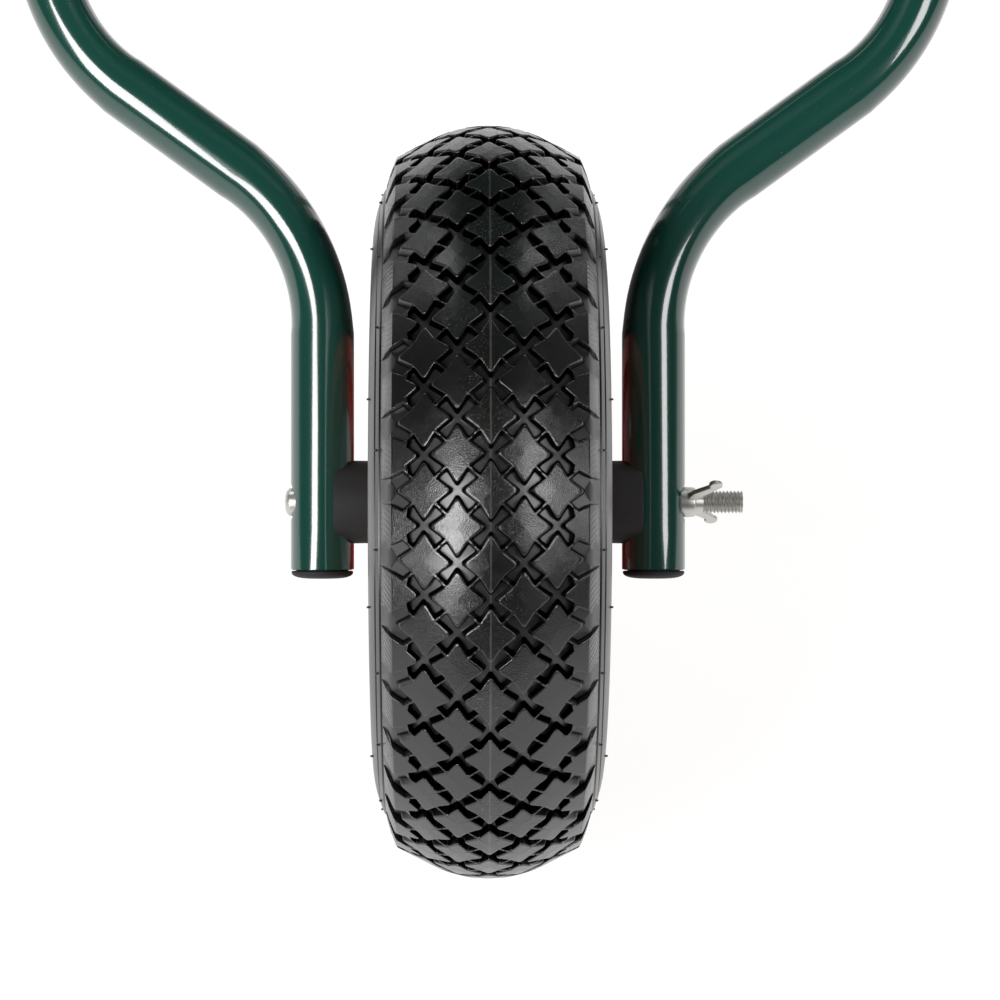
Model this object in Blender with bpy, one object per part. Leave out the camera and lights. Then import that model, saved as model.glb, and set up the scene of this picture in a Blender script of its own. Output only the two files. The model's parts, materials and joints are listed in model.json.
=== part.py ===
"""Folding wheelbarrow: one pneumatic wheel between two bent frame tubes, a leg hoop that folds about
two clamp bolts, and a cloth tub slung between the hoop's front bar and the rear cross tube.

Metres, +Z up. The wheel is at the front (-Y), the handles are at the rear (+Y), and the axle runs
along X with its wing nut on the +X side. The origin is at the bottom centre of the bounding box.
"""

import math

import bmesh
import bpy
from mathutils import Matrix, Quaternion, Vector

# Clearances
SEAT_GAP = 0.0003
RUN_GAP = 0.0005
BORE_SLACK = 0.0005

# Tyre, 3.00-4
TYRE_DIAMETER = 0.260
TYRE_WIDTH = 0.0786
TYRE_WIDEST_RADIUS = 0.091
CROWN_RADIUS = 0.043
CROWN_SLOPE = math.radians(27)
TREAD_HALF_WIDTH = 0.0313
TREAD_PITCHES = 35
TREAD_ROWS = 3
TREAD_DEPTH = 0.003
GROOVE_WIDTH = 0.0036
SHOULDER_DROP = 0.0095
CROWN_WALL = 0.0075
LINER_DROP = 0.0055
SIDEWALL_RADII = (0.103, 0.093, 0.079, 0.0655)
LINER_RADII = (0.068, 0.093, 0.111)
SIDE_WALL = 0.0040
BEAD_TOE = 0.006
BEAD_HEIGHT = 0.0045

# Inner tube and valve
INNER_TUBE_WALL = 0.0025
INNER_TUBE_SLACK = 0.0013
INNER_TUBE_SIDES = 8
INNER_TUBE_SEGMENTS = 20
VALVE_RADIUS = 0.0040
VALVE_LENGTH = 0.030
VALVE_BASE_RADIUS = 0.0075
VALVE_CAP_LENGTH = 0.009
VALVE_BORE_RADIUS = 0.0015
VALVE_CAP_WALL = 0.0010
VALVE_CAP_REACH = 0.002
VALVE_FLANGE_SHEET = 0.0015
VALVE_FLANGE_SLOPE = 0.001
VALVE_NECK_AT = 0.004
VALVE_TIP_SHARE = 0.9
VALVE_SEGMENTS = 12

# Pressed rim halves
RIM_SHEET = 0.0020
RIM_SEAT_RADIUS = 0.0516
RIM_HALF_WIDTH = 0.0270
RIM_LIP_RADIUS = 0.0610
RIM_LIP_FLARE = 0.0030
RIM_KNEE = 0.0045
RIM_DISC_RADIUS = 0.037
RIM_SLOPE_WIDTH = 0.0065
RIM_SEAT_START = 0.0165
RIM_SLOPE_DROP = 0.0045
RIM_SEGMENTS = 28
RIM_BOLT_COUNT = 4
RIM_BOLT_CIRCLE = 0.0275
RIM_BOLT_RADIUS = 0.003
RIM_HEX_RADIUS = 0.0058
RIM_HEX_HEIGHT = 0.0045
RIM_BOLT_SPARE = 0.003
RIM_BOLT_SLACK = 0.0004
RIM_VALVE_SLACK = 0.0008
SHARPEST_MITER = 0.5

# Hub
HUB_HALF_LENGTH = 0.033
HUB_WALL = 0.0025
HUB_FLANGE_SHEET = 0.003
HUB_FLANGE_EDGE = 0.008
BUSH_WALL = 0.0028
BUSH_LENGTH = 0.018
BUSH_FLANGE_SHEET = 0.002
BUSH_FLANGE_WIDTH = 0.0045
SLEEVE_WALL = 0.0016
HUB_SEGMENTS = 16

# Frame tubes
TUBE_DIAMETER = 0.022
TUBE_WALL = 0.0015
FRAME_PITCH = math.radians(39)
FORK_HALF_SPACING = 0.0575
TUBE_TAIL = 0.0235
LOWER_BEND_AT = 0.094
LOWER_BEND_ANGLE = math.radians(54)
LOWER_BEND_RADIUS = 0.070
CROSSOVER_LENGTH = 0.1147
UPPER_BEND_RADIUS = 0.066
SPLAY = math.radians(6)
HANDLE_BEND_AT = 0.800
HANDLE_BEND_RADIUS = 0.110
HANDLE_RISE = math.radians(6)
HANDLE_LENGTH = 0.300
BEND_FLATTENING = 0.08
FRONT_BAR_AT = 0.200
REAR_BAR_AT = 0.740
TUBE_SIDES = 12
CUTTER_SIDES = 24
ARC_STEP = math.radians(13.5)

# Tube plugs and hand grips
PLUG_DEPTH = 0.014
PLUG_RIM = 0.0028
PLUG_DOME = 0.0004
PLUG_TAPER = 0.0006
PLUG_LEAD = 0.002
GRIP_LENGTH = 0.120
GRIP_WALL = 0.0042
GRIP_END = 0.005
GRIP_RIBS = 7
GRIP_RIB_DEPTH = 0.0012
GRIP_COLLAR = 0.0020
GRIP_ROUND = 0.0020
GRIP_COLLAR_LENGTH = 0.006
GRIP_PLAIN_END = 0.012
GRIP_SEGMENTS = 12

# Axle bolt, saddle spacers and wing nut
BOLT_RADIUS = 0.004
BOLT_HEAD_RADIUS = 0.0054
BOLT_HEAD_HEIGHT = 0.0022
BOLT_HEAD_DOME = 0.0012
BOLT_END_CHAMFER = 0.001
BOLT_SEGMENTS = 12
AXLE_STUB = 0.0195
SPACER_RADIUS = 0.016
SPACER_WRAP = 0.0068
SPACER_NECK_RADIUS = 0.0130
SPACER_NECK_LENGTH = 0.003
SPACER_EDGE = 0.0006
WING_BASE_RADIUS = 0.0066
WING_TOP_RADIUS = 0.0058
WING_BODY_HEIGHT = 0.0058
WING_HEIGHT = 0.0120
WING_SPAN = 0.032
WING_SHEET = 0.0020
WING_TIP_RADIUS = 0.0032
WING_BASE_EDGE = 0.0018
WING_ROOT_SINK = 0.0008
WING_TOP_DROP = 0.0006
WING_TIP_POINTS = 7
WING_TIP_ARC = (math.radians(205), math.radians(-60))
WING_TURN = math.radians(64)

# Leg hoop and its pivot
PIVOT_AT = 0.330
LEG_GAP = 0.0055
LEG_ANGLE = math.radians(90)
HOOP_RISE = 0.300
HOOP_CORNER_RADIUS = 0.050
LEG_LENGTH = 0.415
BRACE_DROP = 0.160
STOP_SHEET = 0.004
STOP_FAR = 0.034
STOP_CORNER = 0.007
STOP_REACH = 0.006
FOOT_DEPTH = 0.040
FOOT_WALL = 0.0040
FOOT_FLARE = 0.0025
FOOT_HEEL = 0.045
FOOT_MOUTH_DRAFT = 0.001
FOOT_MOUTH_LENGTH = 0.0015
FOOT_FLARE_LENGTH = 0.008
FOOT_SEGMENTS = 12
SPACER_SEGMENTS = 20
PIVOT_SPACER_RADIUS = 0.013
PIVOT_SPACER_WRAP = 0.0045
WASHER_RADIUS = 0.011
WASHER_SHEET = 0.0016
KNOB_RADIUS = 0.023
KNOB_HEIGHT = 0.022
KNOB_LOBES = 5
KNOB_LOBE_SHARE = 0.16
KNOB_NECK_RADIUS = 0.012
KNOB_TOP_SHARE = 0.6
KNOB_SHOULDER_SHARE = 0.92
KNOB_UNDERSIDE_SHARE = 0.85
KNOB_SHOULDER_DROP = 0.0025
KNOB_WIDEST_AT = 0.45
KNOB_UNDERSIDE_AT = 0.3
KNOB_NECK_AT = 0.25
INSERT_WALL = 0.0025
INSERT_DEPTH = 0.013
KNOB_SEGMENTS = 20

# Cloth tub
CLOTH = 0.003
HEM_CLOTH = 0.0018
TUB_FRONT_TOP_HALF = 0.138
TUB_REAR_TOP_HALF = 0.178
TUB_FRONT_BASE_HALF = 0.102
TUB_REAR_BASE_HALF = 0.122
TUB_FRONT_BASE = (0.150, 0.300)
TUB_REAR_BASE = (0.400, 0.262)
TUB_CORNER = 0.045
TUB_CORNER_POINTS = 4
TUB_HEIGHTS = (0.0, 0.035, 0.11, 0.40, 0.72, 1.0)
TUB_TUCKS = (0.030, 0.010, 0.0, 0.0, 0.0, 0.0)
FRONT_SLEEVE_HALF = 0.132
REAR_SLEEVE_HALF = 0.165

# Worked out from the sizes above
TUBE_R = TUBE_DIAMETER / 2
TUBE_BORE = TUBE_R - TUBE_WALL
AXLE_HEIGHT = TYRE_DIAMETER / 2
CROWN_R = TYRE_DIAMETER / 2
HOLE_RADIUS = BOLT_RADIUS + BORE_SLACK
SLEEVE_BORE = HOLE_RADIUS
SLEEVE_RADIUS = SLEEVE_BORE + SLEEVE_WALL
BUSH_BORE = SLEEVE_RADIUS + BORE_SLACK
BUSH_RADIUS = BUSH_BORE + BUSH_WALL
HUB_BORE = BUSH_RADIUS + BORE_SLACK
HUB_RADIUS = HUB_BORE + HUB_WALL
HUB_FLANGE_RADIUS = RIM_BOLT_CIRCLE + HUB_FLANGE_EDGE
HUB_END = HUB_HALF_LENGTH + SEAT_GAP + BUSH_FLANGE_SHEET
SPACER_FACE = HUB_END + RUN_GAP
SADDLE_RADIUS = TUBE_R + SEAT_GAP
BEAD_SPREAD = RIM_HALF_WIDTH - SEAT_GAP
BEAD_RADIUS = (RIM_SEAT_RADIUS + SEAT_GAP) / math.cos(math.pi / TREAD_PITCHES)
FORK_FACE = FORK_HALF_SPACING + TUBE_R + SEAT_GAP
LEG_OFFSET = TUBE_DIAMETER + LEG_GAP
RIM_BOLT_HOLE = RIM_BOLT_RADIUS + RIM_BOLT_SLACK


def along_frame(lateral, distance, lift=0.0):
    """A point in the frame's own plane: across, up the tubes from the axle, and square to the plane."""
    return Vector((lateral, distance, lift))


LOWER_CORNER = along_frame(FORK_HALF_SPACING, LOWER_BEND_AT)
UPPER_CORNER = LOWER_CORNER + CROSSOVER_LENGTH * along_frame(
    math.sin(LOWER_BEND_ANGLE), math.cos(LOWER_BEND_ANGLE)
)
RUN_DIRECTION = along_frame(math.sin(SPLAY), math.cos(SPLAY))
HANDLE_DROP = FRAME_PITCH - HANDLE_RISE
HANDLE_DIRECTION = Vector(
    (
        math.sin(SPLAY),
        math.cos(SPLAY) * math.cos(HANDLE_DROP),
        -math.cos(SPLAY) * math.sin(HANDLE_DROP),
    )
)


def tube_centre(distance):
    """Centre of the right frame tube where it runs straight between the upper and handle bends."""
    run = (distance - UPPER_CORNER.y) / RUN_DIRECTION.y
    return UPPER_CORNER + run * RUN_DIRECTION


HANDLE_CORNER = tube_centre(HANDLE_BEND_AT)
HANDLE_END = HANDLE_CORNER + HANDLE_LENGTH * HANDLE_DIRECTION
PIVOT_CENTRE = tube_centre(PIVOT_AT)
LEG_HALF_SPACING = PIVOT_CENTRE.x + LEG_OFFSET
FRAME_TURN = Matrix.Rotation(FRAME_PITCH, 3, "X")
LEG_TURN = Matrix.Rotation(FRAME_PITCH + LEG_ANGLE, 3, "X")
PIVOT_IN_PLANE = along_frame(0.0, PIVOT_AT)
GRIP_RADIUS = TUBE_R + SEAT_GAP + GRIP_WALL
GRIP_TIP = FRAME_TURN @ (HANDLE_END + (SEAT_GAP + GRIP_END) * HANDLE_DIRECTION)
HANDLE_LEAN = math.sqrt(1 - (FRAME_TURN @ HANDLE_DIRECTION).y ** 2)
REAR_END = GRIP_TIP.y + (GRIP_RADIUS - GRIP_ROUND) * HANDLE_LEAN
AXLE_Y = (CROWN_R - REAR_END) / 2

# The tub's corners as (y, z) from the axle
HOOP_BAR = FRAME_TURN @ PIVOT_IN_PLANE + LEG_TURN @ Vector((0.0, HOOP_RISE, 0.0))
REAR_BAR = FRAME_TURN @ along_frame(0.0, REAR_BAR_AT)
SLEEVE_CLOTH_RADIUS = (TUBE_R + SEAT_GAP) / math.cos(math.pi / TUBE_SIDES) + HEM_CLOTH
TUB_DROP = SLEEVE_CLOTH_RADIUS + SEAT_GAP
TUB_FRONT_TOP = Vector((HOOP_BAR.y - CLOTH / 2, HOOP_BAR.z - TUB_DROP))
TUB_REAR_TOP = Vector((REAR_BAR.y + CLOTH / 2, REAR_BAR.z - TUB_DROP))
TUB_FRONT_LOW = Vector((TUB_FRONT_BASE[0], TUB_FRONT_BASE[1] - AXLE_HEIGHT))
TUB_REAR_LOW = Vector((TUB_REAR_BASE[0], TUB_REAR_BASE[1] - AXLE_HEIGHT))


def clear_scene():
    """Remove whatever the file opened with."""
    for item in list(bpy.data.objects):
        bpy.data.objects.remove(item, do_unlink=True)


def finish(name, colour, roughness, metallic=0.0):
    """One Principled BSDF material."""
    made = bpy.data.materials.new(name)
    made.use_nodes = True
    shader = made.node_tree.nodes["Principled BSDF"]
    shader.inputs["Base Color"].default_value = (*colour, 1.0)
    shader.inputs["Roughness"].default_value = roughness
    shader.inputs["Metallic"].default_value = metallic
    made.diffuse_color = (*colour, 1.0)
    return made


FINISHES = {
    "green_paint": ((0.010, 0.075, 0.055), 0.22, 0.0),
    "red_paint": ((0.42, 0.02, 0.015), 0.3, 0.0),
    "tyre_rubber": ((0.018, 0.018, 0.018), 0.6, 0.0),
    "tube_rubber": ((0.025, 0.025, 0.026), 0.5, 0.0),
    "grip_rubber": ((0.020, 0.020, 0.021), 0.75, 0.0),
    "black_plastic": ((0.015, 0.015, 0.016), 0.45, 0.0),
    "nylon": ((0.55, 0.54, 0.50), 0.4, 0.0),
    "zinc": ((0.62, 0.61, 0.58), 0.32, 1.0),
    "brass": ((0.70, 0.52, 0.24), 0.3, 1.0),
    "tub_cloth": ((0.020, 0.085, 0.060), 0.85, 0.0),
}


def add_mesh(name, mesh, look, parent, sharp=math.radians(35)):
    """Turn a finished bmesh into a named object of one material."""
    bmesh.ops.recalc_face_normals(mesh, faces=mesh.faces)
    data = bpy.data.meshes.new(name)
    mesh.to_mesh(data)
    mesh.free()
    data.shade_smooth()
    data.set_sharp_from_angle(angle=sharp)
    made = bpy.data.objects.new(name, data)
    made.parent = parent
    data.materials.append(finish(name, *FINISHES[look]))
    bpy.context.scene.collection.objects.link(made)
    return made


def add_empty(name, location, turn, parent=None):
    """Empty that carries a group of pieces, turned about X."""
    made = bpy.data.objects.new(name, None)
    made.location = location
    made.rotation_euler = (turn, 0.0, 0.0)
    made.parent = parent
    bpy.context.scene.collection.objects.link(made)
    return made


def as_guide(made):
    """Mark an object as a cutter that isn't part of the model."""
    made.hide_render = True
    made.display_type = "WIRE"
    return made


def cut(target, *cutters):
    """Cut guides away from an object with Boolean modifiers."""
    for cutter in cutters:
        step = target.modifiers.new(cutter.name, "BOOLEAN")
        step.operation = "DIFFERENCE"
        step.object = cutter


def bent_path(corners, radii):
    """Points of straight runs joined by arcs. Each point has its spoke, or None off the arcs."""
    path = [(corners[0], None)]
    for before, corner, after, radius in zip(corners, corners[1:], corners[2:], radii):
        arriving = (corner - before).normalized()
        leaving = (after - corner).normalized()
        turn = arriving.angle(leaving)
        inward = (leaving - arriving).normalized()
        centre = corner + inward * (radius / math.cos(turn / 2))
        start = corner - arriving * (radius * math.tan(turn / 2)) - centre
        axis = arriving.cross(leaving).normalized()
        steps = max(2, round(turn / ARC_STEP))
        for step in range(steps + 1):
            spoke = Quaternion(axis, turn * step / steps) @ start
            inside = 0 < step < steps
            path.append((centre + spoke, spoke.normalized() if inside else None))
    path.append((corners[-1], None))
    return path


def tube_mesh(path, outer, inner, sides=TUBE_SIDES):
    """Hollow round tube along a path, a little flattened where it bends."""
    mesh = bmesh.new()
    points = [point for point, _ in path]
    across = None
    rings = []
    for index, (point, spoke) in enumerate(path):
        arriving = (point - points[max(index - 1, 0)]).normalized()
        leaving = (points[min(index + 1, len(points) - 1)] - point).normalized()
        tangent = (arriving + leaving).normalized()
        if across is None:
            across = tangent.orthogonal()
        across = (across - tangent * across.dot(tangent)).normalized()
        upward = tangent.cross(across)
        pair = []
        for radius in (outer, inner):
            ring = []
            for side in range(sides):
                angle = 2 * math.pi * side / sides
                offset = radius * (math.cos(angle) * across + math.sin(angle) * upward)
                if spoke is not None:
                    offset -= BEND_FLATTENING * offset.dot(spoke) * spoke
                ring.append(mesh.verts.new(point + offset))
            pair.append(ring)
        rings.append(pair)
    for (outside, inside), (next_outside, next_inside) in zip(rings, rings[1:]):
        bridge(mesh, outside, next_outside)
        bridge(mesh, next_inside, inside)
    bridge(mesh, rings[0][1], rings[0][0])
    bridge(mesh, rings[-1][0], rings[-1][1])
    return mesh


def bridge(mesh, lower, upper):
    """Faces between two rings of as many points."""
    count = len(lower)
    for side in range(count):
        after = (side + 1) % count
        mesh.faces.new((lower[side], lower[after], upper[after], upper[side]))


def turned_mesh(profile, segments, lobes=0):
    """Solid turned about X. The profile is a closed loop of (x, radius) or (x, radius, lobe share)."""
    mesh = bmesh.new()
    rings = []
    for point in profile:
        x, radius = point[0], point[1]
        share = point[2] if len(point) > 2 else 0.0
        if radius <= 0.0:
            rings.append([mesh.verts.new((x, 0.0, 0.0))])
            continue
        ring = []
        for segment in range(segments):
            angle = 2 * math.pi * segment / segments
            reach = radius * (1 - share * (1 + math.cos(lobes * angle)) / 2)
            ring.append(mesh.verts.new((x, reach * math.cos(angle), reach * math.sin(angle))))
        rings.append(ring)
    for first, second in zip(rings, rings[1:] + rings[:1]):
        if len(first) == 1 and len(second) == 1:
            continue
        if len(first) == 1 or len(second) == 1:
            pole, ring = (first[0], second) if len(first) == 1 else (second[0], first)
            for side in range(segments):
                mesh.faces.new((pole, ring[side], ring[(side + 1) % segments]))
            continue
        bridge(mesh, first, second)
    return mesh


def rod_mesh(start, end, radius, sides=CUTTER_SIDES):
    """Plain round bar from start to end."""
    mesh = bmesh.new()
    length = (end - start).length
    bmesh.ops.create_cone(
        mesh, cap_ends=True, segments=sides, radius1=radius, radius2=radius, depth=length
    )
    turn = (end - start).to_track_quat("Z", "Y").to_matrix().to_4x4()
    bmesh.ops.transform(mesh, matrix=Matrix.Translation((start + end) / 2) @ turn, verts=mesh.verts)
    return mesh


def rod_cutter(name, start, end, radius, parent, sides=CUTTER_SIDES):
    """Round bar that cuts a hole or a saddle."""
    return as_guide(add_mesh(name, rod_mesh(start, end, radius, sides), "zinc", parent))


def plate_mesh(outline, thickness):
    """Flat plate from an outline of (x, y) points, centred on the plane z = 0."""
    mesh = bmesh.new()
    near = [mesh.verts.new((x, y, -thickness / 2)) for x, y in outline]
    far = [mesh.verts.new((x, y, thickness / 2)) for x, y in outline]
    mesh.faces.new(near)
    mesh.faces.new(list(reversed(far)))
    bridge(mesh, near, far)
    return mesh


def mirrored(point, side):
    """Point on the left (side -1) or right (side 1) of the barrow."""
    return Vector((side * point[0], point[1], point[2]))


SIDES = (("left", -1), ("right", 1))


def crown_radius(lateral):
    """Radius of the tread surface: a round crown that runs out into a straight slope."""
    knee = CROWN_RADIUS * math.sin(CROWN_SLOPE)
    reach = abs(lateral)
    if reach <= knee:
        return CROWN_R - CROWN_RADIUS + math.sqrt(CROWN_RADIUS**2 - reach**2)
    at_knee = CROWN_R - CROWN_RADIUS * (1 - math.cos(CROWN_SLOPE))
    return at_knee - (reach - knee) * math.tan(CROWN_SLOPE)


def sidewall_half_width(radius):
    """Half width of the tyre at a radius between the bead and the shoulder."""
    widest = TYRE_WIDTH / 2
    if radius > TYRE_WIDEST_RADIUS:
        return math.sqrt(widest**2 - (radius - TYRE_WIDEST_RADIUS) ** 2)
    share = (TYRE_WIDEST_RADIUS - radius) / (TYRE_WIDEST_RADIUS - RIM_LIP_RADIUS)
    return widest - (widest - RIM_HALF_WIDTH - RIM_SHEET) * share**2


def tread_rows():
    """Lateral places of the rows of groove crossings, from one tread edge to the other."""
    return [TREAD_HALF_WIDTH * row / TREAD_ROWS for row in range(-TREAD_ROWS, TREAD_ROWS + 1)]


def wheel_point(lateral, radius, phase):
    """Point of the tyre, with phase counted in tread pitches round the wheel."""
    angle = 2 * math.pi * phase / TREAD_PITCHES
    return Vector((lateral, radius * math.cos(angle), radius * math.sin(angle)))


def block_top(mesh, corners):
    """Top outline of one tread block, drawn in from its crossings by half a groove."""
    arc = 2 * math.pi * CROWN_R / TREAD_PITCHES
    flat = [Vector((lateral, phase * arc)) for lateral, phase in corners]
    ring = []
    for index, corner in enumerate(flat):
        arriving = (corner - flat[index - 1]).normalized()
        leaving = (flat[(index + 1) % len(flat)] - corner).normalized()
        inward = (leaving - arriving).normalized()
        half_turn = arriving.angle(leaving) / 2
        moved = corner + inward * (GROOVE_WIDTH / 2 / math.cos(half_turn))
        lateral = moved.x
        if abs(corner.x) > TREAD_HALF_WIDTH - SEAT_GAP:
            lateral = corner.x
        ring.append(mesh.verts.new(wheel_point(lateral, crown_radius(lateral), moved.y / arc)))
    return ring


def groove_crossings(mesh, rows):
    """Bottom points of the groove net, one row at a time. The outer rows stand on the sidewalls."""
    net = []
    for row, lateral in enumerate(rows):
        radius = crown_radius(lateral) - TREAD_DEPTH
        if row in (0, len(rows) - 1):
            radius = crown_radius(lateral) - SHOULDER_DROP
            lateral = math.copysign(sidewall_half_width(radius), lateral)
        shift = 0.5 if row % 2 else 0.0
        spots = [wheel_point(lateral, radius, pitch + shift) for pitch in range(TREAD_PITCHES)]
        net.append([mesh.verts.new(spot) for spot in spots])
    return net


def add_tyre(axle):
    """Tyre with its diamond tread: raised blocks on a net of V grooves, sidewalls, beads and liner."""
    mesh = bmesh.new()
    rows = tread_rows()
    last = len(rows) - 1
    net = groove_crossings(mesh, rows)
    for pitch in range(TREAD_PITCHES):
        for row in range(last + 1):
            shift = row % 2
            middle = pitch + 0.5 + 0.5 * shift
            corners = []
            base = []
            for step_row, step_phase, index in (
                (0, -0.5, pitch),
                (1, 0.0, pitch + shift),
                (0, 0.5, pitch + 1),
                (-1, 0.0, pitch + shift),
            ):
                if 0 <= row + step_row <= last:
                    corners.append((rows[row + step_row], middle + step_phase))
                    base.append(net[row + step_row][index % TREAD_PITCHES])
            top = block_top(mesh, corners)
            mesh.faces.new(top)
            bridge(mesh, base, top)
    edges = {}
    for side, shoulder in ((-1, net[0]), (1, net[last])):
        rings = [shoulder]
        for radius in SIDEWALL_RADII:
            rings.append(plain_ring(mesh, side * sidewall_half_width(radius), radius))
        rings.append(plain_ring(mesh, side * BEAD_SPREAD, RIM_LIP_RADIUS - RIM_KNEE / 2))
        rings.append(plain_ring(mesh, side * BEAD_SPREAD, BEAD_RADIUS))
        rings.append(plain_ring(mesh, side * (BEAD_SPREAD - BEAD_TOE), BEAD_RADIUS))
        for radius in LINER_RADII:
            rings.append(plain_ring(mesh, side * (sidewall_half_width(radius) - SIDE_WALL), radius))
        shallow = TREAD_HALF_WIDTH / 2
        rings.append(plain_ring(mesh, side * shallow, crown_radius(shallow) - LINER_DROP))
        for upper, lower in zip(rings, rings[1:]):
            bridge(mesh, upper, lower)
        edges[side] = rings[-1]
    middle = plain_ring(mesh, 0.0, CROWN_R - CROWN_WALL)
    bridge(mesh, edges[-1], middle)
    bridge(mesh, middle, edges[1])
    return add_mesh("tyre", mesh, "tyre_rubber", axle, sharp=math.radians(28))


def plain_ring(mesh, lateral, radius):
    """Ring of one point a pitch, in line with the outermost groove crossings."""
    return [mesh.verts.new(wheel_point(lateral, radius, pitch)) for pitch in range(TREAD_PITCHES)]


def clear_bore(radius, segments):
    """Radius of a faceted bore whose flats clear a bar of this radius."""
    return (radius + SEAT_GAP) / math.cos(math.pi / segments)


def sheet_profile(points, sheet):
    """Closed outline of a sheet whose middle follows the points."""
    flat = [Vector(point) for point in points]
    upper = []
    lower = []
    for index, point in enumerate(flat):
        arriving = (point - flat[max(index - 1, 0)]).normalized()
        leaving = (flat[min(index + 1, len(flat) - 1)] - point).normalized()
        along = (arriving + leaving).normalized()
        normal = Vector((-along.y, along.x))
        miter = normal.dot(Vector((-leaving.y, leaving.x))) if leaving.length else 1.0
        reach = sheet / 2 / max(miter, SHARPEST_MITER)
        upper.append(tuple(point + normal * reach))
        lower.append(tuple(point - normal * reach))
    return upper + lower[::-1]


def add_inner_tube(axle):
    """Ring-shaped air tube, open only where the valve stands."""
    top = CROWN_R - CROWN_WALL - INNER_TUBE_SLACK
    bottom = BEAD_RADIUS + BEAD_HEIGHT
    middle = (top + bottom) / 2
    tall = (top - bottom) / 2
    wide = sidewall_half_width(middle) - SIDE_WALL - INNER_TUBE_SLACK
    mesh = bmesh.new()
    shells = []
    for wall in (0.0, INNER_TUBE_WALL):
        loops = []
        for side in range(INNER_TUBE_SIDES):
            angle = 2 * math.pi * side / INNER_TUBE_SIDES - math.pi / 2
            lateral = (wide - wall) * math.cos(angle)
            radius = middle + (tall - wall) * math.sin(angle)
            loops.append(
                [
                    mesh.verts.new(tube_point(lateral, radius, segment))
                    for segment in range(INNER_TUBE_SEGMENTS)
                ]
            )
        shells.append(loops)
    holes = []
    for loops in shells:
        for side in range(INNER_TUBE_SIDES):
            first, second = loops[side], loops[(side + 1) % INNER_TUBE_SIDES]
            for segment in range(INNER_TUBE_SEGMENTS):
                after = (segment + 1) % INNER_TUBE_SEGMENTS
                corners = (first[segment], first[after], second[after], second[segment])
                if side == 0 and segment == 0:
                    holes.append(corners)
                    continue
                mesh.faces.new(corners)
    bridge(mesh, holes[0], holes[1])
    mouth = sum((corner.co for corner in holes[0]), Vector()) / len(holes[0])
    edge = holes[0][3].co - holes[0][0].co
    across = holes[0][1].co - holes[0][0].co
    outward = edge.cross(across).normalized()
    if outward.dot(Vector((0.0, mouth.y, mouth.z))) > 0:
        outward = -outward
    add_mesh("inner_tube", mesh, "tube_rubber", axle)
    return mouth, outward


def tube_point(lateral, radius, segment):
    """Point of the air tube, with one facet centred on the valve above the axle."""
    angle = 2 * math.pi * (segment - 0.5) / INNER_TUBE_SEGMENTS + math.pi / 2
    return Vector((lateral, radius * math.cos(angle), radius * math.sin(angle)))


def add_valve(axle, mouth, outward):
    """Valve stem with its flange on the air tube, and its cap."""
    stem = turned_mesh(
        [
            (SEAT_GAP, VALVE_BORE_RADIUS),
            (SEAT_GAP, VALVE_BASE_RADIUS),
            (SEAT_GAP + VALVE_FLANGE_SHEET, VALVE_BASE_RADIUS - VALVE_FLANGE_SLOPE),
            (SEAT_GAP + VALVE_NECK_AT, VALVE_RADIUS),
            (VALVE_LENGTH, VALVE_RADIUS * VALVE_TIP_SHARE),
            (VALVE_LENGTH, VALVE_BORE_RADIUS),
        ],
        VALVE_SEGMENTS,
    )
    turn = outward.to_track_quat("X", "Z")
    made = add_mesh("valve_stem", stem, "tube_rubber", axle)
    made.location = mouth
    made.rotation_mode = "QUATERNION"
    made.rotation_quaternion = turn
    inside = clear_bore(VALVE_RADIUS, VALVE_SEGMENTS)
    start = VALVE_LENGTH - VALVE_CAP_LENGTH + VALVE_CAP_REACH
    end = VALVE_LENGTH + SEAT_GAP
    cap = turned_mesh(
        [
            (end, 0.0),
            (end, inside),
            (start, inside),
            (start, inside + VALVE_CAP_WALL),
            (end, inside + VALVE_CAP_WALL),
            (end + VALVE_CAP_WALL, inside),
            (end + VALVE_CAP_WALL, 0.0),
        ],
        VALVE_SEGMENTS,
    )
    made = add_mesh("valve_cap", cap, "black_plastic", axle)
    made.location = mouth
    made.rotation_mode = "QUATERNION"
    made.rotation_quaternion = turn
    return rod_cutter(
        "valve_hole_cutter",
        mouth,
        mouth + outward * VALVE_LENGTH,
        VALVE_RADIUS + RIM_VALVE_SLACK,
        axle,
    )


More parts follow.
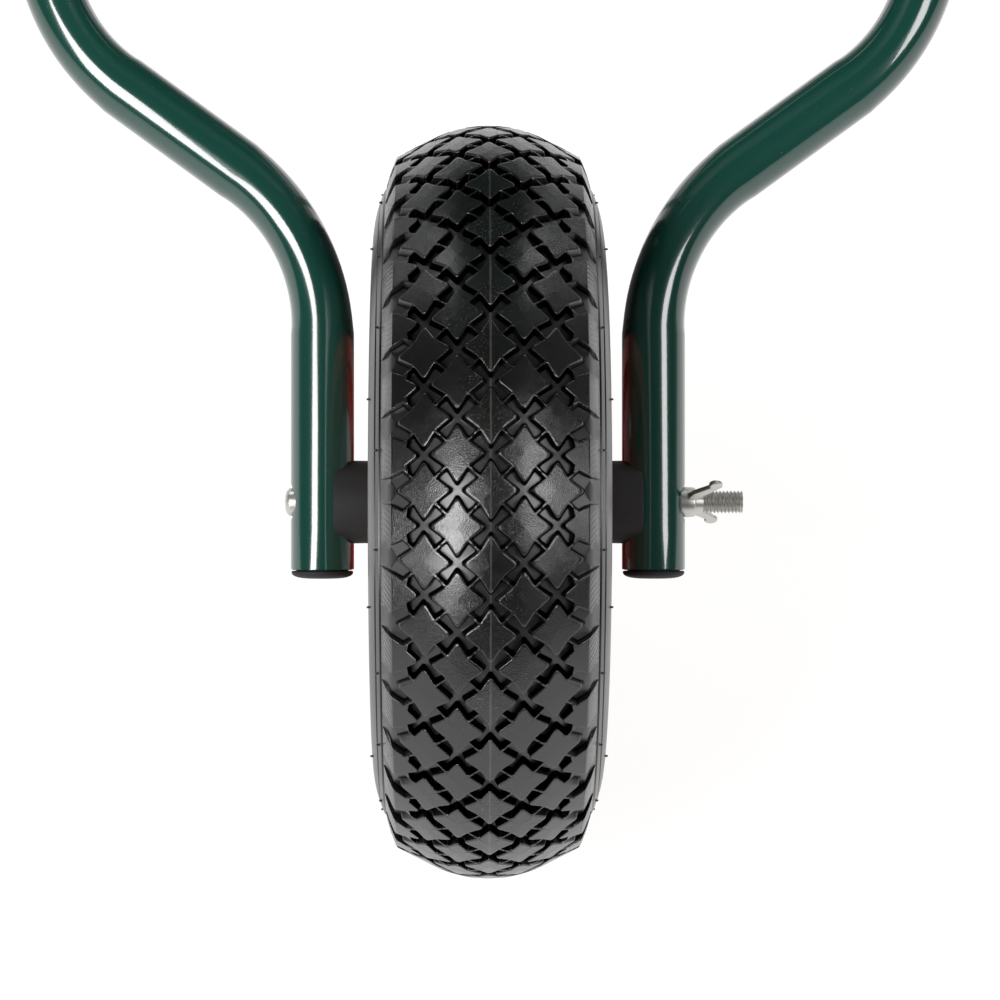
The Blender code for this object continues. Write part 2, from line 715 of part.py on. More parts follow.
def add_rim(axle, valve_cutter):
    """Two pressed halves that clamp the hub flange, their bolts and nuts."""
    disc = HUB_FLANGE_SHEET / 2 + SEAT_GAP + RIM_SHEET / 2
    seat = RIM_SEAT_RADIUS - RIM_SHEET / 2
    wall = RIM_HALF_WIDTH + RIM_SHEET / 2
    section = sheet_profile(
        [
            (disc, HUB_RADIUS + BORE_SLACK),
            (disc, RIM_DISC_RADIUS),
            (disc + RIM_SLOPE_WIDTH, seat - RIM_SLOPE_DROP),
            (RIM_SEAT_START, seat),
            (wall, seat),
            (wall, RIM_LIP_RADIUS - RIM_KNEE),
            (wall + RIM_LIP_FLARE, RIM_LIP_RADIUS - RIM_SHEET / 2),
        ],
        RIM_SHEET,
    )
    outside = disc + RIM_SHEET / 2 + SEAT_GAP
    spots = []
    for index in range(RIM_BOLT_COUNT):
        angle = 2 * math.pi * (index + 0.5) / RIM_BOLT_COUNT
        spots.append(RIM_BOLT_CIRCLE * Vector((0.0, math.cos(angle), math.sin(angle))))
    reach = Vector((outside + RIM_HEX_HEIGHT, 0.0, 0.0))
    cutters = [
        rod_cutter(f"rim_bolt_cutter_{index + 1}", spot - reach, spot + reach, RIM_BOLT_HOLE, axle, 8)
        for index, spot in enumerate(spots)
    ]
    for name, side in SIDES:
        mesh = turned_mesh([(side * x, radius) for x, radius in section], RIM_SEGMENTS)
        half = add_mesh(f"rim_half_{name}", mesh, "red_paint", axle)
        cut(half, *cutters)
        if name == "right":
            cut(half, valve_cutter)
    tail = outside + RIM_HEX_HEIGHT + RIM_BOLT_SPARE
    for index, spot in enumerate(spots):
        bolt = turned_mesh(
            [
                (-outside - RIM_HEX_HEIGHT, 0.0),
                (-outside - RIM_HEX_HEIGHT, RIM_HEX_RADIUS),
                (-outside, RIM_HEX_RADIUS),
                (-outside, RIM_BOLT_RADIUS),
                (tail, RIM_BOLT_RADIUS),
                (tail, 0.0),
            ],
            6,
        )
        add_mesh(f"rim_bolt_{index + 1}", bolt, "zinc", axle).location = spot
        nut = turned_mesh(
            [
                (outside, RIM_BOLT_HOLE),
                (outside, RIM_HEX_RADIUS),
                (outside + RIM_HEX_HEIGHT, RIM_HEX_RADIUS),
                (outside + RIM_HEX_HEIGHT, RIM_BOLT_HOLE),
            ],
            6,
        )
        add_mesh(f"rim_nut_{index + 1}", nut, "zinc", axle).location = spot
    return cutters


def add_hub(axle, bolt_cutters):
    """Hub tube with the flange that the rim halves clamp, and a flanged bush in each end."""
    half_flange = HUB_FLANGE_SHEET / 2
    hub = turned_mesh(
        [
            (-HUB_HALF_LENGTH, HUB_BORE),
            (-HUB_HALF_LENGTH, HUB_RADIUS),
            (-half_flange, HUB_RADIUS),
            (-half_flange, HUB_FLANGE_RADIUS),
            (half_flange, HUB_FLANGE_RADIUS),
            (half_flange, HUB_RADIUS),
            (HUB_HALF_LENGTH, HUB_RADIUS),
            (HUB_HALF_LENGTH, HUB_BORE),
        ],
        HUB_SEGMENTS,
    )
    cut(add_mesh("hub_tube", hub, "zinc", axle), *bolt_cutters)
    for name, side in SIDES:
        inner = HUB_HALF_LENGTH - BUSH_LENGTH
        face = HUB_HALF_LENGTH + SEAT_GAP
        bush = turned_mesh(
            [
                (side * inner, BUSH_BORE),
                (side * inner, BUSH_RADIUS),
                (side * face, BUSH_RADIUS),
                (side * face, BUSH_RADIUS + BUSH_FLANGE_WIDTH),
                (side * HUB_END, BUSH_RADIUS + BUSH_FLANGE_WIDTH),
                (side * HUB_END, BUSH_BORE),
            ],
            HUB_SEGMENTS,
        )
        add_mesh(f"bush_{name}", bush, "nylon", axle)


def add_frame_tubes(fork):
    """The two long bent tubes, from the plugs under the axle to the ends of the handles."""
    corners = [
        along_frame(FORK_HALF_SPACING, -TUBE_TAIL),
        LOWER_CORNER,
        UPPER_CORNER,
        HANDLE_CORNER,
        HANDLE_END,
    ]
    radii = (LOWER_BEND_RADIUS, UPPER_BEND_RADIUS, HANDLE_BEND_RADIUS)
    for name, side in SIDES:
        path = bent_path([mirrored(corner, side) for corner in corners], radii)
        made = add_mesh(f"side_tube_{name}", tube_mesh(path, TUBE_R, TUBE_BORE), "green_paint", fork)
        for purpose, lateral, distance in (
            ("axle", FORK_HALF_SPACING, 0.0),
            ("pivot", PIVOT_CENTRE.x, PIVOT_AT),
        ):
            start = mirrored(along_frame(lateral - 2 * TUBE_R, distance), side)
            end = mirrored(along_frame(lateral + 2 * TUBE_R, distance), side)
            hole = rod_cutter(f"{purpose}_hole_cutter_{name}", start, end, HOLE_RADIUS, fork, 8)
            cut(made, hole)


def add_cross_tube(name, half_length, cutters, parent, place):
    """Straight tube along X whose ends are cut to sit on the tubes beside them."""
    path = [(Vector((-half_length, 0.0, 0.0)), None), (Vector((half_length, 0.0, 0.0)), None)]
    made = add_mesh(name, tube_mesh(path, TUBE_R, TUBE_BORE), "green_paint", parent)
    made.location = place
    cut(made, *cutters)


def add_cross_tubes(fork):
    """Front and rear cross tubes, saddle cut to the splayed frame tubes."""
    reach = 3 * TUBE_R * RUN_DIRECTION
    for name, distance in (("front_cross_tube", FRONT_BAR_AT), ("rear_cross_tube", REAR_BAR_AT)):
        centre = tube_centre(distance)
        cutters = [
            rod_cutter(
                f"{name}_saddle_cutter_{side_name}",
                mirrored(centre - reach, side),
                mirrored(centre + reach, side),
                SADDLE_RADIUS,
                fork,
            )
            for side_name, side in SIDES
        ]
        add_cross_tube(name, centre.x, cutters, fork, along_frame(0.0, distance))


def add_tube_ends(fork):
    """Plugs in the lower tube ends and ribbed grips on the handles."""
    shank = TUBE_BORE * math.cos(math.pi / TUBE_SIDES) - SEAT_GAP
    plug = [
        (-PLUG_DEPTH, 0.0),
        (-PLUG_DEPTH, shank - PLUG_TAPER),
        (-PLUG_DEPTH + PLUG_LEAD, shank),
        (SEAT_GAP, shank),
        (SEAT_GAP, TUBE_R),
        (PLUG_RIM / 2, TUBE_R),
        (PLUG_RIM, TUBE_R - PLUG_LEAD),
        (PLUG_RIM + PLUG_DOME, 0.0),
    ]
    inner = clear_bore(TUBE_R, GRIP_SEGMENTS)
    outer = GRIP_RADIUS
    root = GRIP_LENGTH + SEAT_GAP
    pitch = (GRIP_LENGTH - 2 * GRIP_PLAIN_END) / GRIP_RIBS
    ribs = []
    for rib in range(GRIP_RIBS):
        start = GRIP_PLAIN_END + rib * pitch
        ribs.append((start, outer - GRIP_RIB_DEPTH))
        ribs.append((start + pitch / 2, outer))
    grip = [
        (root, 0.0),
        (root, inner),
        (0.0, inner),
        (0.0, outer + GRIP_COLLAR),
        (GRIP_COLLAR_LENGTH, outer + GRIP_COLLAR),
        *ribs,
        (GRIP_LENGTH - GRIP_PLAIN_END, outer - GRIP_RIB_DEPTH),
        (GRIP_LENGTH - GRIP_COLLAR_LENGTH, outer),
        (root + GRIP_END - GRIP_ROUND, outer),
        (root + GRIP_END, outer - GRIP_ROUND),
        (root + GRIP_END, 0.0),
    ]
    for name, side in SIDES:
        made = add_mesh(f"tube_plug_{name}", turned_mesh(plug, BOLT_SEGMENTS), "black_plastic", fork)
        made.location = along_frame(side * FORK_HALF_SPACING, -TUBE_TAIL)
        made.rotation_euler = (0.0, 0.0, -math.pi / 2)
        made = add_mesh(f"grip_{name}", turned_mesh(grip, GRIP_SEGMENTS), "grip_rubber", fork)
        direction = mirrored(HANDLE_DIRECTION, side)
        made.location = mirrored(HANDLE_END, side) - GRIP_LENGTH * direction
        made.rotation_mode = "QUATERNION"
        made.rotation_quaternion = direction.to_track_quat("X", "Z")


def add_axle(fork):
    """Axle bolt, the sleeve that the wheel runs on, and the saddle spacers clamped to the tubes."""
    head = -FORK_FACE - BOLT_HEAD_HEIGHT
    bolt = turned_mesh(
        [
            (head, 0.0),
            (head + BOLT_HEAD_DOME, BOLT_HEAD_RADIUS),
            (-FORK_FACE, BOLT_HEAD_RADIUS),
            (-FORK_FACE, BOLT_RADIUS),
            (FORK_FACE + AXLE_STUB - BOLT_END_CHAMFER, BOLT_RADIUS),
            (FORK_FACE + AXLE_STUB, BOLT_RADIUS - BOLT_END_CHAMFER),
            (FORK_FACE + AXLE_STUB, 0.0),
        ],
        BOLT_SEGMENTS,
    )
    add_mesh("axle_bolt", bolt, "zinc", fork)
    half = SPACER_FACE - SEAT_GAP
    sleeve = turned_mesh(
        [(-half, SLEEVE_BORE), (-half, SLEEVE_RADIUS), (half, SLEEVE_RADIUS), (half, SLEEVE_BORE)],
        HUB_SEGMENTS,
    )
    add_mesh("axle_sleeve", sleeve, "zinc", fork)
    wrap = FORK_HALF_SPACING - TUBE_R + SPACER_WRAP
    for name, side in SIDES:
        spacer = turned_mesh(
            [
                (SPACER_FACE, HOLE_RADIUS),
                (SPACER_FACE, SPACER_NECK_RADIUS),
                (SPACER_FACE + SPACER_NECK_LENGTH, SPACER_NECK_RADIUS),
                (SPACER_FACE + 2 * SPACER_NECK_LENGTH, SPACER_RADIUS),
                (wrap - SPACER_EDGE, SPACER_RADIUS),
                (wrap, SPACER_RADIUS - SPACER_EDGE),
                (wrap, HOLE_RADIUS),
            ],
            SPACER_SEGMENTS,
        )
        made = add_mesh(f"saddle_spacer_{name}", spacer, "black_plastic", fork)
        made.rotation_euler = (0.0, 0.0, 0.0 if side > 0 else math.pi)
        reach = Vector((0.0, 2 * SPACER_RADIUS, 0.0))
        centre = along_frame(side * FORK_HALF_SPACING, 0.0)
        saddle = f"spacer_saddle_cutter_{name}"
        cut(made, rod_cutter(saddle, centre - reach, centre + reach, SADDLE_RADIUS, fork))


def wing_outline():
    """Outline of one wing in (x, distance from the bolt), rounded at its tip."""
    middle = Vector((WING_HEIGHT - WING_TIP_RADIUS, WING_SPAN / 2 - WING_TIP_RADIUS))
    root = WING_TOP_RADIUS - WING_ROOT_SINK
    outline = [(WING_ROOT_SINK, root), (1.4 * WING_ROOT_SINK, WING_BASE_RADIUS + WING_ROOT_SINK)]
    first, last = WING_TIP_ARC
    for step in range(WING_TIP_POINTS):
        angle = first + (last - first) * step / (WING_TIP_POINTS - 1)
        outline.append(tuple(middle + WING_TIP_RADIUS * Vector((math.cos(angle), math.sin(angle)))))
    outline.append((WING_BODY_HEIGHT - WING_TOP_DROP, root))
    return outline


def add_wing_nut(fork):
    """Wing nut against the outside of the right tube."""
    body = turned_mesh(
        [
            (0.0, HOLE_RADIUS),
            (0.0, WING_BASE_RADIUS),
            (WING_BASE_EDGE, WING_BASE_RADIUS),
            (WING_BODY_HEIGHT, WING_TOP_RADIUS),
            (WING_BODY_HEIGHT, HOLE_RADIUS),
        ],
        BOLT_SEGMENTS,
    )
    nut = add_mesh("wing_nut", body, "zinc", fork)
    nut.location = along_frame(FORK_FACE, 0.0)
    nut.rotation_euler = (WING_TURN, 0.0, 0.0)
    for index, turn in enumerate((0.0, math.pi)):
        plate = plate_mesh(wing_outline(), WING_SHEET)
        wing = as_guide(add_mesh(f"wing_guide_{index + 1}", plate, "zinc", nut))
        wing.rotation_euler = (turn, 0.0, 0.0)
        step = nut.modifiers.new(wing.name, "BOOLEAN")
        step.operation = "UNION"
        step.object = wing


def add_leg_frame(fork):
    """Leg hoop, brace, stop plates and feet, all carried by the two pivot bolts."""
    pivot = add_empty("leg_pivot", along_frame(0.0, PIVOT_AT), LEG_ANGLE, fork)
    half = LEG_HALF_SPACING
    path = bent_path(
        [
            Vector((-half, -LEG_LENGTH, 0.0)),
            Vector((-half, HOOP_RISE, 0.0)),
            Vector((half, HOOP_RISE, 0.0)),
            Vector((half, -LEG_LENGTH, 0.0)),
        ],
        (HOOP_CORNER_RADIUS, HOOP_CORNER_RADIUS),
    )
    hoop = add_mesh("leg_hoop", tube_mesh(path, TUBE_R, TUBE_BORE), "green_paint", pivot)
    brace_cutters = []
    for name, side in SIDES:
        across = Vector((2 * TUBE_R, 0.0, 0.0))
        centre = Vector((side * half, 0.0, 0.0))
        cutter = f"leg_hole_cutter_{name}"
        cut(hoop, rod_cutter(cutter, centre - across, centre + across, HOLE_RADIUS, pivot, 8))
        beside = Vector((side * half, -BRACE_DROP, 0.0))
        reach = Vector((0.0, 3 * TUBE_R, 0.0))
        brace_cutters.append(
            rod_cutter(f"brace_saddle_cutter_{name}", beside - reach, beside + reach, SADDLE_RADIUS, pivot)
        )
    add_cross_tube("leg_brace", half, brace_cutters, pivot, Vector((0.0, -BRACE_DROP, 0.0)))
    add_stop_plates(pivot)
    add_feet(pivot)
    return pivot


def add_stop_plates(pivot):
    """Plates on the legs that meet the undersides of the frame tubes when the legs are open."""
    near = -(TUBE_R + SEAT_GAP)
    inner = PIVOT_CENTRE.x - STOP_REACH
    outer = LEG_HALF_SPACING + STOP_REACH
    for name, side in SIDES:
        outline = [
            (side * inner, near),
            (side * inner, -STOP_FAR + STOP_CORNER),
            (side * (inner + STOP_CORNER), -STOP_FAR),
            (side * (outer - STOP_CORNER), -STOP_FAR),
            (side * outer, -STOP_FAR + STOP_CORNER),
            (side * outer, near),
        ]
        made = add_mesh(f"stop_plate_{name}", plate_mesh(outline, STOP_SHEET), "green_paint", pivot)
        made.location = (0.0, near - STOP_SHEET / 2, 0.0)
        made.rotation_euler = (math.pi / 2, 0.0, 0.0)


def add_feet(pivot):
    """Rubber boots on the legs, cut flat where they stand on the ground."""
    inner = clear_bore(TUBE_R, FOOT_SEGMENTS)
    outer = inner + FOOT_WALL
    root = FOOT_DEPTH + SEAT_GAP
    end = FOOT_DEPTH + FOOT_HEEL
    boot = [
        (root, 0.0),
        (root, inner),
        (0.0, inner),
        (0.0, outer - FOOT_MOUTH_DRAFT),
        (FOOT_MOUTH_LENGTH, outer),
        (FOOT_DEPTH, outer),
        (FOOT_DEPTH + FOOT_FLARE_LENGTH, outer + FOOT_FLARE),
        (end, outer + FOOT_FLARE),
        (end, 0.0),
    ]
    for name, side in SIDES:
        ground = floor_cutter(name, side)
        made = add_mesh(f"foot_{name}", turned_mesh(boot, FOOT_SEGMENTS), "grip_rubber", pivot)
        made.location = (side * LEG_HALF_SPACING, FOOT_DEPTH - LEG_LENGTH, 0.0)
        made.rotation_euler = (0.0, 0.0, -math.pi / 2)
        cut(made, ground)


def floor_cutter(name, side):
    """Block below the ground under one foot."""
    mesh = bmesh.new()
    size = 6 * FOOT_HEEL
    bmesh.ops.create_cube(mesh, size=size)
    made = as_guide(add_mesh(f"ground_cutter_{name}", mesh, "zinc", None))
    foot = FRAME_TURN @ PIVOT_IN_PLANE + LEG_TURN @ Vector((0.0, -LEG_LENGTH, 0.0))
    made.location = (side * LEG_HALF_SPACING, AXLE_Y + foot.y, -size / 2)
    return made


def add_pivots(fork):
    """Pivot bolts with their spacers, washers, clamp knobs and the knobs' threaded inserts."""
    reach = 3 * TUBE_R * RUN_DIRECTION
    leg_face = LEG_HALF_SPACING + TUBE_R + SEAT_GAP
    spacer_end = LEG_HALF_SPACING - TUBE_R - SEAT_GAP
    spacer_start = PIVOT_CENTRE.x + TUBE_R - PIVOT_SPACER_WRAP
    head = PIVOT_CENTRE.x - TUBE_R / math.cos(SPLAY) - BOLT_HEAD_RADIUS * math.tan(SPLAY) - SEAT_GAP
    knob_face = leg_face + WASHER_SHEET + RUN_GAP
    insert_radius = HOLE_RADIUS + INSERT_WALL
    socket = clear_bore(insert_radius, KNOB_SEGMENTS)
    share = KNOB_LOBE_SHARE
    shoulder = knob_face + KNOB_HEIGHT - KNOB_SHOULDER_DROP
    pieces = {
        "pivot_bolt": (
            "zinc",
            BOLT_SEGMENTS,
            0,
            [
                (head - BOLT_HEAD_HEIGHT, 0.0),
                (head - BOLT_HEAD_HEIGHT + BOLT_HEAD_DOME, BOLT_HEAD_RADIUS),
                (head, BOLT_HEAD_RADIUS),
                (head, BOLT_RADIUS),
                (knob_face + INSERT_DEPTH - BOLT_END_CHAMFER, BOLT_RADIUS),
                (knob_face + INSERT_DEPTH - BOLT_END_CHAMFER, 0.0),
            ],
        ),
        "pivot_washer": (
            "zinc",
            BOLT_SEGMENTS,
            0,
            [
                (leg_face, HOLE_RADIUS),
                (leg_face, WASHER_RADIUS),
                (leg_face + WASHER_SHEET, WASHER_RADIUS),
                (leg_face + WASHER_SHEET, HOLE_RADIUS),
            ],
        ),
        "pivot_spacer": (
            "black_plastic",
            SPACER_SEGMENTS,
            0,
            [
                (spacer_start, HOLE_RADIUS),
                (spacer_start, PIVOT_SPACER_RADIUS),
                (spacer_end, PIVOT_SPACER_RADIUS),
                (spacer_end, HOLE_RADIUS),
            ],
        ),
        "clamp_knob": (
            "black_plastic",
            KNOB_SEGMENTS,
            KNOB_LOBES,
            [
                (knob_face + KNOB_HEIGHT, 0.0),
                (knob_face + KNOB_HEIGHT, KNOB_TOP_SHARE * KNOB_RADIUS, share),
                (shoulder, KNOB_SHOULDER_SHARE * KNOB_RADIUS, share),
                (knob_face + KNOB_WIDEST_AT * KNOB_HEIGHT, KNOB_RADIUS, share),
                (knob_face + KNOB_UNDERSIDE_AT * KNOB_HEIGHT, KNOB_UNDERSIDE_SHARE * KNOB_RADIUS, share),
                (knob_face + KNOB_NECK_AT * KNOB_HEIGHT, KNOB_NECK_RADIUS),
                (knob_face, KNOB_NECK_RADIUS),
                (knob_face, socket),
                (knob_face + INSERT_DEPTH + SEAT_GAP, socket),
                (knob_face + INSERT_DEPTH + SEAT_GAP, 0.0),
            ],
        ),
        "knob_insert": (
            "brass",
            BOLT_SEGMENTS,
            0,
            [
                (knob_face, HOLE_RADIUS),
                (knob_face, insert_radius),
                (knob_face + INSERT_DEPTH, insert_radius),
                (knob_face + INSERT_DEPTH, HOLE_RADIUS),
            ],
        ),
    }
    for side_name, side in SIDES:
        for name, (look, segments, lobes, profile) in pieces.items():
            made = add_mesh(f"{name}_{side_name}", turned_mesh(profile, segments, lobes), look, fork)
            made.location = along_frame(0.0, PIVOT_AT)
            made.rotation_euler = (0.0, 0.0, 0.0 if side > 0 else math.pi)
            if name == "pivot_spacer":
                centre = PIVOT_CENTRE
                saddle = rod_cutter(
                    f"pivot_saddle_cutter_{side_name}",
                    mirrored(centre - reach, side),
                    mirrored(centre + reach, side),
                    SADDLE_RADIUS,
                    fork,
                )
                cut(made, saddle)


def tub_ring(mesh, share, tuck, wall):
    """One level ring of the tub, from the base (share 0) to the rim (share 1)."""
    front_y = TUB_FRONT_LOW.x + share * (TUB_FRONT_TOP.x - TUB_FRONT_LOW.x) + tuck + wall
    rear_y = TUB_REAR_LOW.x + share * (TUB_REAR_TOP.x - TUB_REAR_LOW.x) - tuck - wall
    front_z = TUB_FRONT_LOW.y + share * (TUB_FRONT_TOP.y - TUB_FRONT_LOW.y)
    rear_z = TUB_REAR_LOW.y + share * (TUB_REAR_TOP.y - TUB_REAR_LOW.y)
    front_half = TUB_FRONT_BASE_HALF + share * (TUB_FRONT_TOP_HALF - TUB_FRONT_BASE_HALF) - tuck - wall
    rear_half = TUB_REAR_BASE_HALF + share * (TUB_REAR_TOP_HALF - TUB_REAR_BASE_HALF) - tuck - wall
    corner = TUB_CORNER - wall
    lift = wall if share == 0.0 else 0.0
    ring = []
    quarters = ((-1, -1, math.pi), (1, -1, 1.5 * math.pi), (1, 1, 0.0), (-1, 1, 0.5 * math.pi))
    for side, end, start in quarters:
        half = front_half if end < 0 else rear_half
        middle_x = side * (half - corner)
        middle_y = (front_y if end < 0 else rear_y) - end * corner
        for step in range(TUB_CORNER_POINTS):
            angle = start + 0.5 * math.pi * step / (TUB_CORNER_POINTS - 1)
            x = middle_x + corner * math.cos(angle)
            y = middle_y + corner * math.sin(angle)
            along = (y - front_y) / (rear_y - front_y)
            ring.append(mesh.verts.new((x, y, front_z + along * (rear_z - front_z) + lift)))
    return ring


def add_cloth(axle, fork, pivot):
    """Cloth tub slung from a sleeve on the hoop's bar and a sleeve on the rear cross tube."""
    mesh = bmesh.new()
    shells = []
    for wall in (0.0, CLOTH):
        rings = [tub_ring(mesh, share, tuck, wall) for share, tuck in zip(TUB_HEIGHTS, TUB_TUCKS)]
        for lower, upper in zip(rings, rings[1:]):
            bridge(mesh, lower, upper)
        mesh.faces.new(rings[0])
        shells.append(rings)
    bridge(mesh, shells[0][-1], shells[1][-1])
    add_mesh("cloth_tub", mesh, "tub_cloth", axle)
    inner = clear_bore(TUBE_R, TUBE_SIDES)
    for name, half, parent, place in (
        ("front_sleeve", FRONT_SLEEVE_HALF, pivot, Vector((0.0, HOOP_RISE, 0.0))),
        ("rear_sleeve", REAR_SLEEVE_HALF, fork, along_frame(0.0, REAR_BAR_AT)),
    ):
        sleeve = turned_mesh(
            [(-half, inner), (-half, SLEEVE_CLOTH_RADIUS), (half, SLEEVE_CLOTH_RADIUS), (half, inner)],
            TUBE_SIDES,
        )
        add_mesh(name, sleeve, "tub_cloth", parent).location = place


def main():
    """Build the whole barrow, group by group."""
    clear_scene()
    axle = add_empty("axle_centre", (0.0, AXLE_Y, AXLE_HEIGHT), 0.0)
    fork = add_empty("fork_plane", (0.0, AXLE_Y, AXLE_HEIGHT), FRAME_PITCH)
    add_tyre(axle)
    mouth, outward = add_inner_tube(axle)
    valve_cutter = add_valve(axle, mouth, outward)
    bolt_cutters = add_rim(axle, valve_cutter)
    add_hub(axle, bolt_cutters)
    add_frame_tubes(fork)
    add_cross_tubes(fork)
    add_tube_ends(fork)
    add_axle(fork)
    add_wing_nut(fork)
    pivot = add_leg_frame(fork)
    add_pivots(fork)
    add_cloth(axle, fork, pivot)
    bpy.context.view_layer.update()


main()
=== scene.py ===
"""Looks of a folding wheelbarrow: a diamond tread tyre between two bent green tubes, a folding leg
hoop, clamp knobs, and a cloth tub slung between the hoop and the rear cross tube."""

import json
import math

import bmesh
import bpy
from bpy.props import FloatProperty, FloatVectorProperty, IntProperty, PointerProperty
from mathutils import Matrix, Quaternion, Vector


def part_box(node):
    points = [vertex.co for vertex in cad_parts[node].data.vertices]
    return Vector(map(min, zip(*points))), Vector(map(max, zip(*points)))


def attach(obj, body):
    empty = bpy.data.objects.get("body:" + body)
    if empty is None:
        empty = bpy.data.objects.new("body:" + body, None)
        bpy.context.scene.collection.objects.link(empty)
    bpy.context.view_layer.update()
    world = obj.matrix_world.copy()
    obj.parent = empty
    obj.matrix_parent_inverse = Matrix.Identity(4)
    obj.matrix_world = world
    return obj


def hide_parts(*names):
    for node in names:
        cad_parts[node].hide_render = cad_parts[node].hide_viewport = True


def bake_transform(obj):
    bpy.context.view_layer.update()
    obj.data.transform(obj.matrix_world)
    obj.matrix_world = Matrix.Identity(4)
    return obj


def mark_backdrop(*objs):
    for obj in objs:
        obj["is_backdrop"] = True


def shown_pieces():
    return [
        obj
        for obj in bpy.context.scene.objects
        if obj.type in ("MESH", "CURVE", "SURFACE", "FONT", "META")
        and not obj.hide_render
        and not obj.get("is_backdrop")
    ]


bl_info = {
    "name": "Folding Wheelbarrow",
    "version": (1, 0, 0),
    "blender": (4, 5, 0),
    "location": "View3D > Sidebar > Barrow",
    "description": "Builds the looks of a folding wheelbarrow round its packed frame",
    "category": "Object",
}

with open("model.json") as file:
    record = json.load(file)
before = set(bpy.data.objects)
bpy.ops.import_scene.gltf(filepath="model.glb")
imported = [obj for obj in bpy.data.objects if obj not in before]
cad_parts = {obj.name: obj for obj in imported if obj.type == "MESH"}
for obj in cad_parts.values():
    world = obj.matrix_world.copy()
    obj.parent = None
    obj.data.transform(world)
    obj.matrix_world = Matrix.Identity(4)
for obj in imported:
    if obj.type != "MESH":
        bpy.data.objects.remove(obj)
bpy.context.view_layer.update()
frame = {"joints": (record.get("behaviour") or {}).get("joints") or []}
JOINTS = {joint["name"]: joint for joint in frame["joints"]}
AXLE = Vector(JOINTS["wheel_spin"]["pos_m"])
PIVOT = Vector(JOINTS["leg_fold"]["pos_m"])
SIDES = (("left", -1), ("right", 1))

# Places read from the frame
TYRE_LOW, TYRE_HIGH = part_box("tyre")
TYRE_R = (TYRE_HIGH.z - TYRE_LOW.z) / 2
TYRE_HALF = TYRE_HIGH.x
STUB_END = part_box("axle_bolt")[1].x
NUT_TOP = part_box("wing_nut")[1].x
SPACER_LOW, SPACER_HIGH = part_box("saddle_spacer_right")
HUB_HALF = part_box("hub_tube")[1].x
HUB_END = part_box("bush_right")[1].x
RIM_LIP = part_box("rim_half_right")[1].z - AXLE.z
TUB_LOW, TUB_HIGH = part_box("cloth_tub")
FRONT_SLEEVE_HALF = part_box("front_sleeve")[1].x
REAR_SLEEVE_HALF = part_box("rear_sleeve")[1].x
FRONT_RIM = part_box("front_sleeve")[0].z


def length(name, description, default):
    return FloatProperty(name=name, description=description, default=default, unit="LENGTH")


def angle(name, description, degrees):
    turn = math.radians(degrees)
    return FloatProperty(name=name, description=description, default=turn, subtype="ANGLE")


def colour(name, description, default):
    return FloatVectorProperty(name=name, description=description, default=default, subtype="COLOR")


class BarrowTyreSizes(bpy.types.PropertyGroup):
    """Tread and rubber of the tyre."""

    pitches: IntProperty(name="Pitches", description="Tread blocks round the wheel", default=35, min=12)
    crown: length("Crown", "Radius of the tread's crown", 0.043)
    slope: angle("Slope", "Slope beside the crown", 27)
    shoulder: length("Shoulder", "Half width of the tread", 0.0313)
    depth: length("Depth", "Depth of the pockets", 0.0028)
    waist: length("Waist", "Pocket half width at a crossing", 0.0013)
    flare: length("Flare", "Pocket half width at its end", 0.0023)
    tie: length("Tie", "Bar between two pockets", 0.00045)
    edge: length("Edge", "Rounding of the blocks", 0.0003)
    corner: length("Corner", "Radius of a block's corners", 0.0015)
    block_share: FloatProperty(
        name="Block share", description="Share of a pitch under a shoulder block", default=0.58
    )
    rubber: colour("Rubber", "Colour of the rubber", (0.0045, 0.0045, 0.0047))


class BarrowTubeSizes(bpy.types.PropertyGroup):
    """Bent tubes and their paint."""

    radius: length("Radius", "Radius of the tubes", 0.011)
    wall: length("Wall", "Wall of the tubes", 0.0015)
    pitch: angle("Pitch", "Slope of the frame", 39)
    fork: length("Fork", "Half spacing of the tubes at the axle", 0.0575)
    tail: length("Tail", "Tube below the axle", 0.0235)
    lower_at: length("Lower bend", "Place of the lower bend", 0.094)
    lower_turn: angle("Lower turn", "Angle of the lower bend", 54)
    lower_radius: length("Lower radius", "Radius of the lower bend", 0.070)
    crossover: length("Crossover", "Tube between the corners", 0.1147)
    upper_radius: length("Upper radius", "Radius of the upper bend", 0.066)
    splay: angle("Splay", "Spread of the long tubes", 6)
    handle_at: length("Handle bend", "Place of the handle bend", 0.800)
    handle_radius: length("Handle radius", "Radius of the handle bend", 0.110)
    handle_rise: angle("Handle rise", "Slope of the handles", 6)
    handle: length("Handle", "Length of a handle", 0.300)
    front_bar: length("Front bar", "Place of the front cross tube", 0.200)
    rear_bar: length("Rear bar", "Place of the rear cross tube", 0.740)
    pivot_at: length("Pivot", "Place of the pivot", 0.330)
    leg_gap: length("Leg gap", "Room between a side tube and its leg", 0.0055)
    hoop_rise: length("Hoop rise", "Hoop bar above the pivot", 0.300)
    hoop_corner: length("Hoop corner", "Radius of the hoop's corners", 0.050)
    leg: length("Leg", "Leg below the pivot", 0.415)
    brace: length("Brace", "Brace below the pivot", 0.160)
    flattening: FloatProperty(
        name="Flattening", description="How much a bend flattens the tube", default=0.085
    )
    paint: colour("Paint", "Colour of the powder coat", (0.0065, 0.060, 0.044))
    bead: length("Bead", "Radius of a weld bead", 0.0017)


